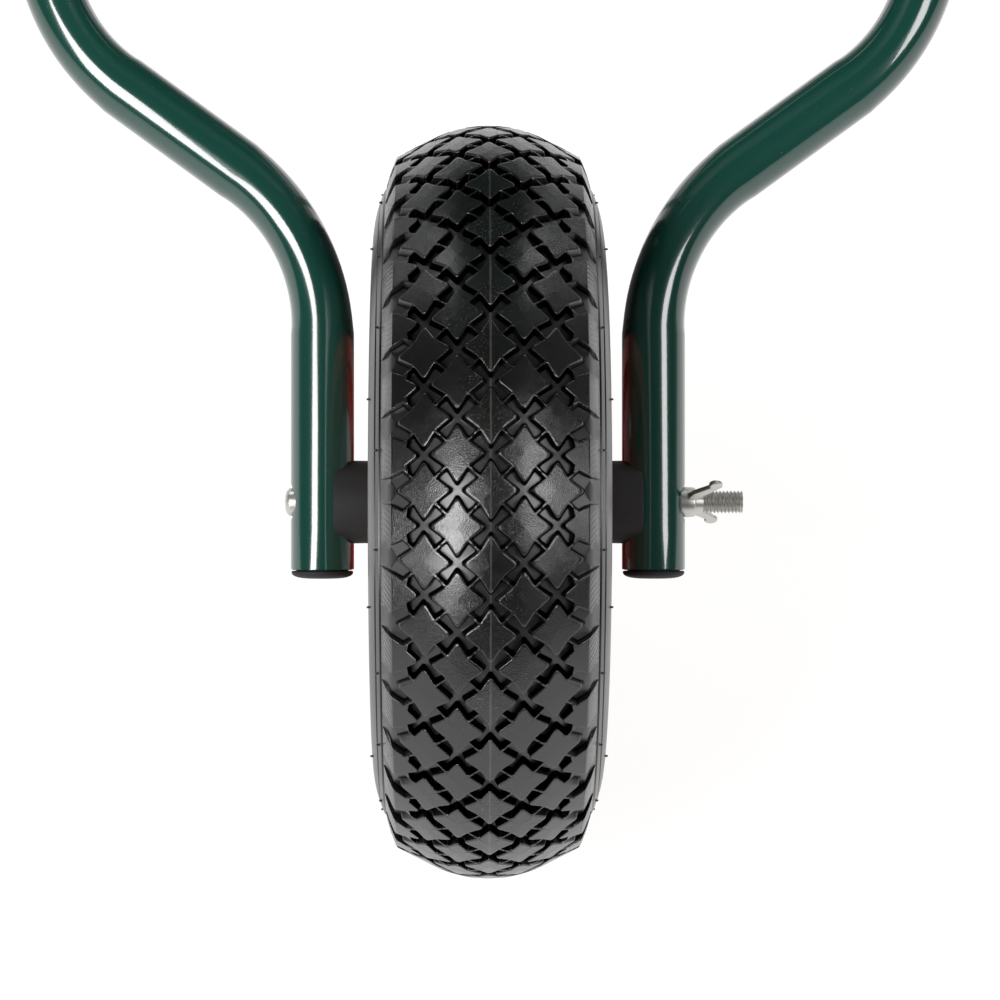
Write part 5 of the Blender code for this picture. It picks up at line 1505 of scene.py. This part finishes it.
def make_axle():
    """Bolt with its rolled thread, sleeve, saddle spacers and the cast wing nut."""
    tubes = sizes("tubes")
    metal = sizes("metal")
    seat = tubes.fork + tubes.radius - DIMPLE_DEPTH
    matrix = fork_matrix()
    outline = [(-seat - rise, radius) for rise, radius in AXLE_HEAD]
    outline += [(-seat, metal.bolt), (NUT_TOP - 0.006, metal.bolt), (NUT_TOP - 0.006, 0.0)]
    shaft = turned(softened(outline, 0.0003, 2), 64)
    thread = threaded(NUT_TOP - 0.008, STUB_END, metal.bolt - 0.00005, metal.thread)
    bolt = new_piece("axle_bolt_plated", placed(merged(shaft, thread), matrix), "zinc")
    settle(bolt, "main_frame", "zinc", "axle_bolt")
    tube = softened(sleeve_profile(-SPACER_LOW.x, SPACER_LOW.x, BOLT_BORE, 0.0061), 0.0003)
    sleeve = new_piece("axle_sleeve_plated", placed(turned(tube, 48), matrix), "zinc")
    settle(sleeve, "main_frame", "zinc", "axle_sleeve")
    near, far = SPACER_LOW.x, SPACER_HIGH.x
    profile = [(near, BOLT_BORE), (near, 0.0142), (far, 0.0145), (far, BOLT_BORE)]
    for name, side in SIDES:
        mesh = turned([(side * x, radius) for x, radius in softened(profile, 0.0007)], 128)
        piece = new_piece(f"saddle_spacer_{name}_moulded", placed(mesh, matrix), "black_plastic")
        centre = Vector((side * tubes.fork, 0.0, 0.0))
        piece = saddled(piece, centre, Vector((0.0, 0.05, 0.0)), matrix)
        settle(piece, "main_frame", "black_plastic", f"saddle_spacer_{name}")
    nut = wing_nut_mesh(seat, NUT_TOP)
    turn = Matrix.Rotation(metal.wing_turn, 4, "X")
    piece = new_piece("wing_nut_cast", placed(nut, matrix @ turn), "zinc", math.radians(50))
    settle(piece, "wing_nut_body", "zinc", "wing_nut")


def wing_nut_mesh(seat, top):
    """Cast nut: a coned body and two ear-shaped wings, melted together by a remesh."""
    tubes = sizes("tubes")
    metal = sizes("metal")
    face = tubes.fork + tubes.radius
    body = [(seat + 0.0001, 0.0), (seat + 0.0001, 0.0053), (face + 0.0012, 0.0053)]
    body += [(face + 0.0036, 0.0050), (face + 0.0036, 0.0)]
    mesh = turned(softened(body, 0.0006), 96)
    tip = 0.0024
    middle = Vector((top - tip, metal.wing_span / 2 - tip))
    outline = [(face + 0.0002, 0.004), (face + 0.0020, 0.0074)]
    for step in range(13):
        angle = math.radians(210 - 270 * step / 12)
        outline.append(tuple(middle + tip * Vector((math.cos(angle), math.sin(angle)))))
    outline.append((face + 0.0044, 0.004))
    heart = sum((Vector(spot) for spot in outline), Vector((0.0, 0.0))) / len(outline)
    for way in (1, -1):
        plate = bmesh.new()
        rings = []
        for lift, inset in ((-1.0, 0.0006), (-0.6, 0.0), (0.6, 0.0), (1.0, 0.0006)):
            ring = []
            for spot in outline:
                moved = Vector(spot) + (heart - Vector(spot)).normalized() * inset
                thick = metal.wing_sheet / 2 * (1.3 if spot[1] < 0.006 else 1.0)
                ring.append(plate.verts.new((moved.x, way * moved.y, way * lift * thick)))
            rings.append(ring)
        mesh = merged(mesh, loft(plate, rings))
    piece = new_piece("wing_nut_rough", mesh, "zinc")
    step = piece.modifiers.new("melt", "REMESH")
    step.mode = "VOXEL"
    step.voxel_size = 0.00028
    step = piece.modifiers.new("ease", "SMOOTH")
    step.iterations = 5
    piece = frozen(piece, "wing_nut_rough")
    made = bmesh.new()
    made.from_mesh(piece.data)
    bpy.data.objects.remove(piece, do_unlink=True)
    return made


def make_leg_frame():
    """Hoop, brace, stop plates, rubber feet and the welds between them."""
    size = sizes("tubes")
    matrix = leg_matrix()
    half = lateral_at(size, size.pivot_at) + 2 * size.radius + size.leg_gap
    corners = [(-half, -size.leg), (-half, size.hoop_rise), (half, size.hoop_rise), (half, -size.leg)]
    path = bent_path([Vector((x, y, 0.0)) for x, y in corners], (size.hoop_corner, size.hoop_corner))
    mesh = placed(swept(path, size.radius, size.wall, size.flattening, 80), matrix)
    settle(new_piece("leg_hoop_painted", mesh, "green_paint"), "leg_frame", "frame_green", "leg_hoop")
    place = matrix @ Matrix.Translation((0.0, -size.brace, 0.0))
    reach = Vector((0.0, 0.04, 0.0))
    sides = [Vector((side * half, -size.brace, 0.0)) for _, side in SIDES]
    cutters = [(matrix @ (spot - reach), matrix @ (spot + reach)) for spot in sides]
    brace = saddle_tube("leg_brace_painted", half, cutters, place)
    settle(brace, "leg_frame", "frame_green", "leg_brace")
    welds = [(weld_path(side, -size.brace, 0.0, half, matrix), True) for _, side in SIDES]
    near = -(size.radius + 0.0002)
    inner = lateral_at(size, size.pivot_at) - 0.006
    outer = half + 0.006
    for name, side in SIDES:
        mesh = bmesh.new()
        outline = [(inner, near), (inner, -0.027), (inner + 0.007, -0.034)]
        outline += [(outer - 0.007, -0.034), (outer, -0.027), (outer, near)]
        middle = Vector(((inner + outer) / 2, -0.022))
        rings = []
        for sunk, inset in ((0.0, 0.0004), (0.0004, 0.0), (0.0036, 0.0), (0.004, 0.0004)):
            ring = []
            for x, z in outline:
                spot = Vector((x, z))
                spot += (middle - spot).normalized() * inset
                ring.append(mesh.verts.new((side * spot.x, near - sunk, spot.y)))
            rings.append(ring)
        place = placed(loft(mesh, rings), matrix)
        plate = new_piece(f"stop_plate_{name}_painted", place, "green_paint", math.radians(20))
        settle(plate, "leg_frame", "frame_green", f"stop_plate_{name}")
        start = half - size.radius * 0.7
        line = [(side * (start + 0.0014 * step), near - 0.0005, near + 0.0002) for step in range(12)]
        welds.append(([matrix @ Vector(point) for point in line], False))
    add_welds("leg_welds", welds, "leg_frame")
    boot = [(0.0403, 0.0), (0.0403, 0.0112), (0.0, 0.0112), (0.0, 0.0142), (0.0012, 0.0152)]
    for groove in range(4):
        start = 0.008 + 0.007 * groove
        boot += [(start, 0.0152), (start + 0.0012, 0.0145)]
        boot += [(start + 0.0038, 0.0145), (start + 0.005, 0.0152)]
    boot += [(0.040, 0.0153), (0.048, 0.0177), (0.085, 0.0177), (0.085, 0.0)]
    for name, side in SIDES:
        mesh = turned(softened(boot, 0.0006, 2), 72)
        place = Matrix.Translation((side * half, 0.040 - size.leg, 0.0))
        placed(mesh, matrix @ place @ Matrix.Rotation(-math.pi / 2, 4, "Z"))
        whole = [*mesh.verts, *mesh.edges, *mesh.faces]
        cut = bmesh.ops.bisect_plane(
            mesh, geom=whole, plane_co=(0, 0, 0), plane_no=(0, 0, 1), clear_inner=True
        )
        edges = [item for item in cut["geom_cut"] if isinstance(item, bmesh.types.BMEdge)]
        bmesh.ops.holes_fill(mesh, edges=edges, sides=0)
        bmesh.ops.recalc_face_normals(mesh, faces=mesh.faces)
        foot = new_piece(f"foot_{name}_moulded", mesh, "hand_rubber")
        settle(foot, "leg_frame", "grip_rubber", f"foot_{name}")


def make_pivots():
    """Pivot bolts, spacers, washers and the lobed clamp knobs with their inserts."""
    size = sizes("tubes")
    metal = sizes("metal")
    centre = lateral_at(size, size.pivot_at)
    leg = centre + 2 * size.radius + size.leg_gap
    face = leg + size.radius
    head = centre - size.radius / math.cos(size.splay) - 0.0008
    knob = face + 0.0021
    matrix = fork_matrix() @ Matrix.Translation((0.0, size.pivot_at, 0.0))

    def lobe_share(x, radius):
        return 0.16 if radius > 0.0125 and abs(x) > knob + 0.0045 else 0.0

    bolt = [(head - 0.0028, 0.0), (head - 0.0024, 0.0040), (head - 0.0010, 0.0068), (head, 0.0070)]
    bolt += [(head, metal.bolt), (knob + 0.012, metal.bolt), (knob + 0.012, 0.0)]
    washer = sleeve_profile(face + 0.0002, face + 0.0018, BOLT_BORE, 0.011)
    spacer = sleeve_profile(centre + 0.0065, leg - size.radius - 0.0002, BOLT_BORE, 0.013)
    insert = sleeve_profile(knob, knob + 0.012, BOLT_BORE, 0.0068)
    top = knob + 0.022
    grip = [(top + 0.0002, 0.0), (top, 0.0120), (top - 0.0014, 0.0190), (top - 0.0045, 0.0221)]
    grip += [(top - 0.0115, 0.0230), (top - 0.0150, 0.0205), (knob + 0.0058, 0.0142)]
    grip += [(knob + 0.0045, 0.0121), (knob, 0.0120), (knob, 0.0070), (knob + 0.0125, 0.0070)]
    grip += [(knob + 0.0125, 0.0)]
    for name, side in SIDES:
        bodies = (
            ("pivot_bolt", "zinc", "zinc", bolt, 64, 0, "main_frame"),
            ("pivot_washer", "zinc", "zinc", washer, 64, 0, "main_frame"),
            ("pivot_spacer", "black_plastic", "black_plastic", spacer, 128, 0, "main_frame"),
            ("knob_insert", "brass", "brass", insert, 48, 0, f"{name}_knob"),
            ("clamp_knob", "black_plastic", "black_plastic", grip, 160, 5, f"{name}_knob"),
        )
        for node_name, finish, slot, profile, segments, lobes, body in bodies:
            shape = [(side * x, radius) for x, radius in softened(profile, 0.0009, 4)]
            mesh = turned(shape, segments, lobes, lobe_share if lobes else None)
            piece = new_piece(f"{node_name}_{name}_made", placed(mesh, matrix), finish)
            if node_name == "pivot_spacer":
                way = Vector((side * math.sin(size.splay), math.cos(size.splay), 0.0)) * 0.04
                piece = saddled(piece, Vector((side * centre, 0.0, 0.0)), way, matrix)
            settle(piece, body, slot, f"{node_name}_{name}")


# Tub as sewn
TUB_BASE = ((0.150, 0.300), (0.400, 0.262))
TUB_BASE_HALVES = (0.102, 0.122)
TUB_TOP_HALVES = (0.1375, 0.1775)
TUB_CORNER = 0.045
TUB_AROUND = 240
TUB_UP = 44


def tub_outline(share, tuck):
    """Level ring of the tub's own cut at a share of its height, evenly spaced round it."""
    front_y = AXLE.y + TUB_BASE[0][0] + share * (TUB_LOW.y - AXLE.y - TUB_BASE[0][0]) + tuck
    rear_y = AXLE.y + TUB_BASE[1][0] + share * (TUB_HIGH.y - AXLE.y - TUB_BASE[1][0]) - tuck
    fronts = TUB_BASE_HALVES[0] + share * (TUB_TOP_HALVES[0] - TUB_BASE_HALVES[0]) - tuck
    rears = TUB_BASE_HALVES[1] + share * (TUB_TOP_HALVES[1] - TUB_BASE_HALVES[1]) - tuck
    corner = TUB_CORNER - 0.5 * tuck
    dense = []
    for side, end, start in ((-1, -1, 1.0), (1, -1, 1.5), (1, 1, 0.0), (-1, 1, 0.5)):
        half = fronts if end < 0 else rears
        middle = Vector((side * (half - corner), (front_y if end < 0 else rear_y) - end * corner))
        for step in range(13):
            angle = math.pi * (start + 0.5 * step / 12)
            dense.append(middle + corner * Vector((math.cos(angle), math.sin(angle))))
    lengths = [0.0]
    for before, after in zip(dense, dense[1:] + dense[:1]):
        lengths.append(lengths[-1] + (after - before).length)
    ring = []
    spot = 0
    for step in range(TUB_AROUND):
        reach = lengths[-1] * step / TUB_AROUND
        while lengths[spot + 1] < reach:
            spot += 1
        share_here = (reach - lengths[spot]) / max(1e-9, lengths[spot + 1] - lengths[spot])
        ring.append(dense[spot].lerp(dense[(spot + 1) % len(dense)], share_here))
    return ring, front_y, rear_y, lengths[-1]


def tub_point(spot, share, front_y, rear_y, sag):
    """A point of the hung cloth: its level, its bow between the bars and its tension folds."""
    along = min(1.0, max(0.0, (spot.y - front_y) / (rear_y - front_y)))
    front_z = TUB_BASE[0][1] + share * (FRONT_RIM - TUB_BASE[0][1])
    rear_z = TUB_BASE[1][1] + share * (TUB_HIGH.z - TUB_BASE[1][1])
    z = front_z + along * (rear_z - front_z)
    half = TUB_TOP_HALVES[0] + along * (TUB_TOP_HALVES[1] - TUB_TOP_HALVES[0])
    beside = min(1.0, max(0.0, (abs(spot.x) / half - 0.55) / 0.35))
    slung = math.sin(math.pi * along)
    z -= sag * 1.5 * slung * beside * max(0.0, share - 0.35) ** 1.6
    belly = sag * 0.55 * slung * math.sin(math.pi * min(1.0, share + 0.08))
    x = spot.x + math.copysign(belly * beside, spot.x)
    crease = math.sin(34 * along + 5.5 * share) * math.sin(11 * share + 3.0 * along)
    x += math.copysign(0.0011 * beside * crease * math.sin(math.pi * share), spot.x)
    cross = 1 - min(1.0, abs(spot.x) / 0.16)
    y = spot.y + 0.0035 * (1 - 2 * along) * cross * math.sin(math.pi * share)
    y += 0.0010 * math.sin(60 * spot.x + 9 * share) * math.sin(math.pi * share) * (1 - beside)
    return Vector((x, y, z))


def make_tub():
    """Hung cloth tub with its hem, seams and stitches, and the two sleeves round the bars."""
    size = sizes("tub")
    mesh = bmesh.new()
    chart = mesh.loops.layers.uv.new("cloth")
    heights = [(step / TUB_UP) ** 1.25 for step in range(TUB_UP + 1)]
    rings, places = [], []
    for share in heights:
        tuck = 0.030 * max(0.0, 1 - share / 0.14) ** 2
        spots, front_y, rear_y, girth = tub_outline(share, tuck)
        rings.append([mesh.verts.new(tub_point(spot, share, front_y, rear_y, size.sag)) for spot in spots])
        places.append((share, girth))
    for level, (lower, upper) in enumerate(zip(rings, rings[1:])):
        for index, face in enumerate(bridge(mesh, lower, upper)):
            girth = places[level][1]
            for loop, (step, rise) in zip(face.loops, ((0, 0), (1, 0), (1, 1), (0, 1))):
                loop[chart].uv = ((index + step) * girth / TUB_AROUND, 0.33 * places[level + rise][0])
    centre = sum((vert.co for vert in rings[0]), Vector()) / TUB_AROUND
    inner = rings[0]
    for share in (0.12, 0.26, 0.42, 0.60, 0.78, 0.92):
        ring = []
        for vert in rings[0]:
            spot = vert.co.lerp(centre, share)
            depth = size.sag * (1 - (1 - share) ** 2) * 0.9
            spot.z -= depth - 0.0008 * math.sin(50 * spot.x) * math.sin(42 * spot.y)
            ring.append(mesh.verts.new(spot))
        for face in bridge(mesh, ring, inner):
            for loop in face.loops:
                loop[chart].uv = (loop.vert.co.x, loop.vert.co.y)
        inner = ring
    middle = mesh.verts.new(centre - Vector((0.0, 0.0, size.sag * 0.9)))
    for index, vert in enumerate(inner):
        face = mesh.faces.new((middle, inner[(index + 1) % TUB_AROUND], vert))
        for loop in face.loops:
            loop[chart].uv = (loop.vert.co.x, loop.vert.co.y)
    bmesh.ops.recalc_face_normals(mesh, faces=mesh.faces)
    mesh.normal_update()
    seams = tub_seams(rings, heights)
    cut = sum(face.calc_area() for face in mesh.faces)
    shell = thickened(mesh, size.cloth, rings[-1], chart)
    tub = new_piece("cloth_tub_sewn", shell, "tub_fabric", math.radians(60))
    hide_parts("cloth_tub")
    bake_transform(tub)
    seed_piece = stitch_seed(size.stitch, 0.00045)
    sewn = row_on(seams, seed_piece, "tub_stitches", size.stitch, "sewing_yarn", 0.06)
    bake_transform(sewn)
    make_sleeves(size, seed_piece)
    bpy.data.objects.remove(seed_piece, do_unlink=True)


def thickened(mesh, cloth, rim, chart):
    """Give the outer surface of the tub its inner face, thicker in the hem, closed over the rim."""
    mesh.verts.index_update()
    outer = list(mesh.verts)
    faces = list(mesh.faces)
    rim_set = set(rim)
    inner = {}
    for vert in outer:
        thick = cloth * (1.7 if vert in rim_set else 1.0)
        inner[vert] = mesh.verts.new(vert.co - vert.normal * thick)
    for face in faces:
        made = mesh.faces.new([inner[vert] for vert in reversed(face.verts)])
        for loop, source in zip(made.loops, reversed(list(face.loops))):
            loop[chart].uv = source[chart].uv
    count = len(rim)
    for index, vert in enumerate(rim):
        after = rim[(index + 1) % count]
        made = mesh.faces.new((vert, after, inner[after], inner[vert]))
        for loop in made.loops:
            loop[chart].uv = (index * 0.005, 0.33)
    bmesh.ops.recalc_face_normals(mesh, faces=mesh.faces)
    return mesh


def tub_seams(rings, heights):
    """Lines of sewing on the tub: two round the hem, one pair up each corner, one round the base."""
    lines = []
    lift = 0.00035
    for level in (0.905, 0.965, 0.16):
        index = min(range(len(heights)), key=lambda i: abs(heights[i] - level))
        lines.append(([vert.co + vert.normal * lift for vert in rings[index]], True))
    for corner in range(4):
        mark = corner_mark(corner)
        spot = min(range(TUB_AROUND), key=lambda i: (rings[-1][i].co - mark).length)
        for shift in (-1, 1):
            line = [ring[(spot + shift) % TUB_AROUND] for ring in rings[10:-3]]
            lines.append(([vert.co + vert.normal * lift for vert in line], False))
    return lines


def corner_mark(corner):
    side = 1 if corner % 2 else -1
    end_y, half = (TUB_LOW.y, TUB_TOP_HALVES[0]) if corner < 2 else (TUB_HIGH.y, TUB_TOP_HALVES[1])
    return Vector((side * half, end_y, TUB_HIGH.z))


# Sleeves round the bars: where the cloth starts, how far it wraps, and the mesh's counts
SLEEVE_START = math.radians(-62)
SLEEVE_WRAP = math.radians(304)
SLEEVE_COLUMNS = 72
SLEEVE_STEPS = 32


def make_sleeves(size, seed_piece):
    """Cloth loops round the hoop's bar and the rear cross tube, with their sewn tails."""
    tubes = sizes("tubes")
    radius = tubes.radius + 0.0004
    rear_bar = in_fork(0.0, tubes.rear_bar)
    for name, half, body, bar, bar_node in (
        ("front_sleeve", FRONT_SLEEVE_HALF, "leg_frame", hoop_bar(), "leg_hoop"),
        ("rear_sleeve", REAR_SLEEVE_HALF, "main_frame", rear_bar, "rear_cross_tube"),
    ):
        mesh = bmesh.new()
        chart = mesh.loops.layers.uv.new("cloth")
        rows = []
        for column in range(SLEEVE_COLUMNS + 1):
            x = half * (2 * column / SLEEVE_COLUMNS - 1)
            outside, inside = [], []
            for step in range(SLEEVE_STEPS + 1):
                turn = SLEEVE_START + SLEEVE_WRAP * step / SLEEVE_STEPS
                ripple = 0.00045 * math.sin(5.0 * turn + 90 * x) * math.sin(41 * x + 1.3)
                for layer, reach in ((outside, radius + 0.0017 + ripple), (inside, radius)):
                    layer.append(Vector((x, reach * math.cos(turn), reach * math.sin(turn))))
            rows.append([mesh.verts.new(bar + point) for point in outside + inside[::-1]])
        count = len(rows[0])
        for first, second in zip(rows, rows[1:]):
            for index, face in enumerate(bridge(mesh, first, second)):
                later = (first[(index + 1) % count], second[(index + 1) % count])
                for loop in face.loops:
                    loop[chart].uv = (loop.vert.co.x, (index + (loop.vert in later)) * 0.0013)
        mesh.faces.new(rows[0])
        mesh.faces.new(rows[-1])
        bmesh.ops.recalc_face_normals(mesh, faces=mesh.faces)
        sleeve = new_piece(f"{name}_sewn", mesh, "tub_fabric", math.radians(60))
        settle(sleeve, body, "tub_cloth", name)
        lines = []
        for turn in (math.radians(-30), math.radians(210)):
            reach = radius + 0.0021
            start = bar + Vector((-half + 0.004, reach * math.cos(turn), reach * math.sin(turn)))
            lines.append(([start, start + Vector((2 * half - 0.008, 0.0, 0.0))], False))
        sewn = row_on(lines, seed_piece, f"{name}_stitches", size.stitch, "sewing_yarn", 0.05)
        settle(sewn, body, "tub_cloth")


def hoop_bar():
    return leg_matrix() @ Vector((0.0, sizes("tubes").hoop_rise, 0.0))


# Lamps: angle across from the view, angle up, width, height, distance and share of the lamp strength
LAMPS = (
    ("left_strip", math.radians(-31), math.radians(-7), 0.50, 0.90, 1.6, 1.0),
    ("right_strip", math.radians(38), math.radians(4), 0.40, 0.80, 1.6, 0.42),
    ("top_bank", 0.0, math.radians(86), 1.60, 0.60, 1.5, 1.4),
)


def make_stage():
    """White floor that keeps its shadow, white surroundings, three lamps and the camera."""
    size = sizes("stage")
    scene = bpy.context.scene
    scene.view_settings.view_transform = "Standard"
    up = Vector((0.0, math.cos(sizes("tubes").pitch), math.sin(sizes("tubes").pitch)))
    back = Vector((0.0, -up.z, up.y))
    right = up.cross(back)
    view = back * math.cos(size.azimuth) + right * math.sin(size.azimuth)
    target = AXLE + Vector((0.00415, 0.0, 0.0)) + 0.0007 * up
    eye = bpy.data.cameras.new("photo_camera")
    eye.lens = size.lens
    eye.sensor_width = 36.0
    camera = bpy.data.objects.new("photo_camera", eye)
    turn = Matrix((up.cross(view), up, view)).transposed().to_4x4()
    camera.matrix_world = Matrix.Translation(target + view * size.distance) @ turn
    scene.collection.objects.link(camera)
    scene.camera = camera
    ground = bmesh.new()
    bmesh.ops.create_grid(ground, x_segments=1, y_segments=1, size=60.0)
    floor_mesh = bpy.data.meshes.new("floor")
    ground.to_mesh(floor_mesh)
    ground.free()
    floor = bpy.data.objects.new("floor", floor_mesh)
    floor_mesh.materials.append(floor_paint())
    scene.collection.objects.link(floor)
    parts = [camera, floor]
    for name, across, lift, width, height, distance, share in LAMPS:
        lamp = bpy.data.lights.new(name, "AREA")
        lamp.shape = "RECTANGLE"
        lamp.size = width
        lamp.size_y = height
        lamp.energy = size.lamp * share
        made = bpy.data.objects.new(name, lamp)
        level = back * math.cos(across) + right * math.sin(across)
        direction = level * math.cos(lift) + up * math.sin(lift)
        spot = AXLE + direction * distance
        facing = (-direction).to_track_quat("-Z", "Y").to_matrix()
        made.matrix_world = Matrix.Translation(spot) @ facing.to_4x4()
        scene.collection.objects.link(made)
        parts.append(made)
    world = bpy.data.worlds.new("white_room")
    world.use_nodes = True
    tree = world.node_tree
    path = node(tree, "ShaderNodeLightPath")
    seen = maths(tree, path.outputs["Is Camera Ray"], path.outputs["Is Transmission Ray"], "MAXIMUM")
    way = node(tree, "ShaderNodeTexCoord").outputs["Generated"]
    facing = node(tree, "ShaderNodeVectorMath", {0: way, 1: tuple(back)}, operation="DOT_PRODUCT")
    mirrored = ramp(tree, path.outputs["Is Glossy Ray"], 0.30, 1.0)
    before = ramp(tree, facing.outputs["Value"], 1.0, 0.04, (-0.8, 0.2))
    strength = maths(tree, maths(tree, mirrored, before, "MULTIPLY"), seen, "MAXIMUM")
    tree.nodes["Background"].inputs["Color"].default_value = (1.0, 1.0, 1.0, 1.0)
    tree.links.new(strength, tree.nodes["Background"].inputs["Strength"])
    scene.world = world
    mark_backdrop(*parts)


def floor_paint():
    """Floor that is white to the camera, darkened where the object shades it."""
    made = bpy.data.materials.new("floor_paint")
    made.use_nodes = True
    tree = made.node_tree
    shader = tree.nodes["Principled BSDF"]
    shader.inputs["Base Color"].default_value = (0.45, 0.45, 0.45, 1.0)
    shader.inputs["Roughness"].default_value = 0.9
    path = node(tree, "ShaderNodeLightPath")
    shaded = node(tree, "ShaderNodeBsdfDiffuse", {"Color": (0.16, 0.16, 0.16, 1.0)})
    glow = node(tree, "ShaderNodeEmission", {"Color": (1.0, 0.985, 0.98, 1.0), "Strength": 0.93})
    both = node(tree, "ShaderNodeAddShader", {0: shaded.outputs[0], 1: glow.outputs[0]})
    plain = node(tree, "ShaderNodeMixShader")
    seen = maths(tree, path.outputs["Is Camera Ray"], path.outputs["Is Glossy Ray"], "MAXIMUM")
    seen = maths(tree, seen, path.outputs["Is Transmission Ray"], "MAXIMUM")
    tree.links.new(seen, plain.inputs[0])
    tree.links.new(shader.outputs[0], plain.inputs[1])
    tree.links.new(both.outputs[0], plain.inputs[2])
    tree.links.new(plain.outputs[0], tree.nodes["Material Output"].inputs["Surface"])
    return made


class BarrowTyre(bpy.types.Operator):
    """Build the diamond tread tyre"""

    bl_idname = "barrow.tyre"
    bl_label = "Tyre"

    def execute(self, context):
        make_tyre()
        return {"FINISHED"}


class BarrowWheelCentre(bpy.types.Operator):
    """Build the rim, hub, bushes and their bolts"""

    bl_idname = "barrow.wheel_centre"
    bl_label = "Wheel centre"

    def execute(self, context):
        make_wheel_centre()
        return {"FINISHED"}


class BarrowFrameTubes(bpy.types.Operator):
    """Build the bent frame tubes and their cross tubes"""

    bl_idname = "barrow.frame_tubes"
    bl_label = "Frame tubes"

    def execute(self, context):
        make_frame_tubes()
        return {"FINISHED"}


class BarrowTubeEnds(bpy.types.Operator):
    """Build the plugs and grips"""

    bl_idname = "barrow.tube_ends"
    bl_label = "Tube ends"

    def execute(self, context):
        make_tube_ends()
        return {"FINISHED"}


class BarrowAxle(bpy.types.Operator):
    """Build the axle bolt, sleeve, saddle spacers and wing nut"""

    bl_idname = "barrow.axle"
    bl_label = "Axle"

    def execute(self, context):
        make_axle()
        return {"FINISHED"}


class BarrowLegFrame(bpy.types.Operator):
    """Build the leg hoop, brace, stop plates and feet"""

    bl_idname = "barrow.leg_frame"
    bl_label = "Leg frame"

    def execute(self, context):
        make_leg_frame()
        return {"FINISHED"}


class BarrowPivots(bpy.types.Operator):
    """Build the pivot bolts and clamp knobs"""

    bl_idname = "barrow.pivots"
    bl_label = "Pivots"

    def execute(self, context):
        make_pivots()
        return {"FINISHED"}


class BarrowTub(bpy.types.Operator):
    """Build the cloth tub and its sleeves"""

    bl_idname = "barrow.tub"
    bl_label = "Tub"

    def execute(self, context):
        make_tub()
        return {"FINISHED"}


class BarrowStage(bpy.types.Operator):
    """Set the floor, lamps and camera"""

    bl_idname = "barrow.stage"
    bl_label = "Stage"

    def execute(self, context):
        make_stage()
        return {"FINISHED"}


GROUPS = {
    "tyre": BarrowTyreSizes,
    "tubes": BarrowTubeSizes,
    "metal": BarrowMetalSizes,
    "tub": BarrowTubSizes,
    "stage": BarrowStageSizes,
}
STEPS = (
    BarrowTyre,
    BarrowWheelCentre,
    BarrowFrameTubes,
    BarrowTubeEnds,
    BarrowAxle,
    BarrowLegFrame,
    BarrowPivots,
    BarrowTub,
    BarrowStage,
)


class BarrowPanel(bpy.types.Panel):
    """Steps and sizes of the wheelbarrow."""

    bl_idname = "VIEW3D_PT_barrow"
    bl_label = "Folding wheelbarrow"
    bl_space_type = "VIEW_3D"
    bl_region_type = "UI"
    bl_category = "Barrow"

    def draw(self, context):
        for name, group in GROUPS.items():
            box = self.layout.box()
            for key in group.__annotations__:
                box.prop(getattr(context.scene, f"barrow_{name}"), key)
        for step in STEPS:
            self.layout.operator(step.bl_idname)


def register():
    for name, group in GROUPS.items():
        bpy.utils.register_class(group)
        setattr(bpy.types.Scene, f"barrow_{name}", PointerProperty(type=group))
    for step in (*STEPS, BarrowPanel):
        bpy.utils.register_class(step)


def unregister():
    for step in (BarrowPanel, *reversed(STEPS)):
        bpy.utils.unregister_class(step)
    for name, group in GROUPS.items():
        delattr(bpy.types.Scene, f"barrow_{name}")
        bpy.utils.unregister_class(group)


def visual_box():
    """Lowest and highest corner of the finished pieces."""
    bpy.context.view_layer.update()
    low, high = Vector((1e9,) * 3), Vector((-1e9,) * 3)
    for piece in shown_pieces():
        for corner in piece.bound_box:
            spot = piece.matrix_world @ Vector(corner)
            low = Vector(map(min, low, spot))
            high = Vector(map(max, high, spot))
    return low, high


def main():
    register()
    for step in STEPS:
        group, name = step.bl_idname.split(".")
        getattr(getattr(bpy.ops, group), name)()
    low, high = visual_box()


if __name__ == "__main__":
    main()
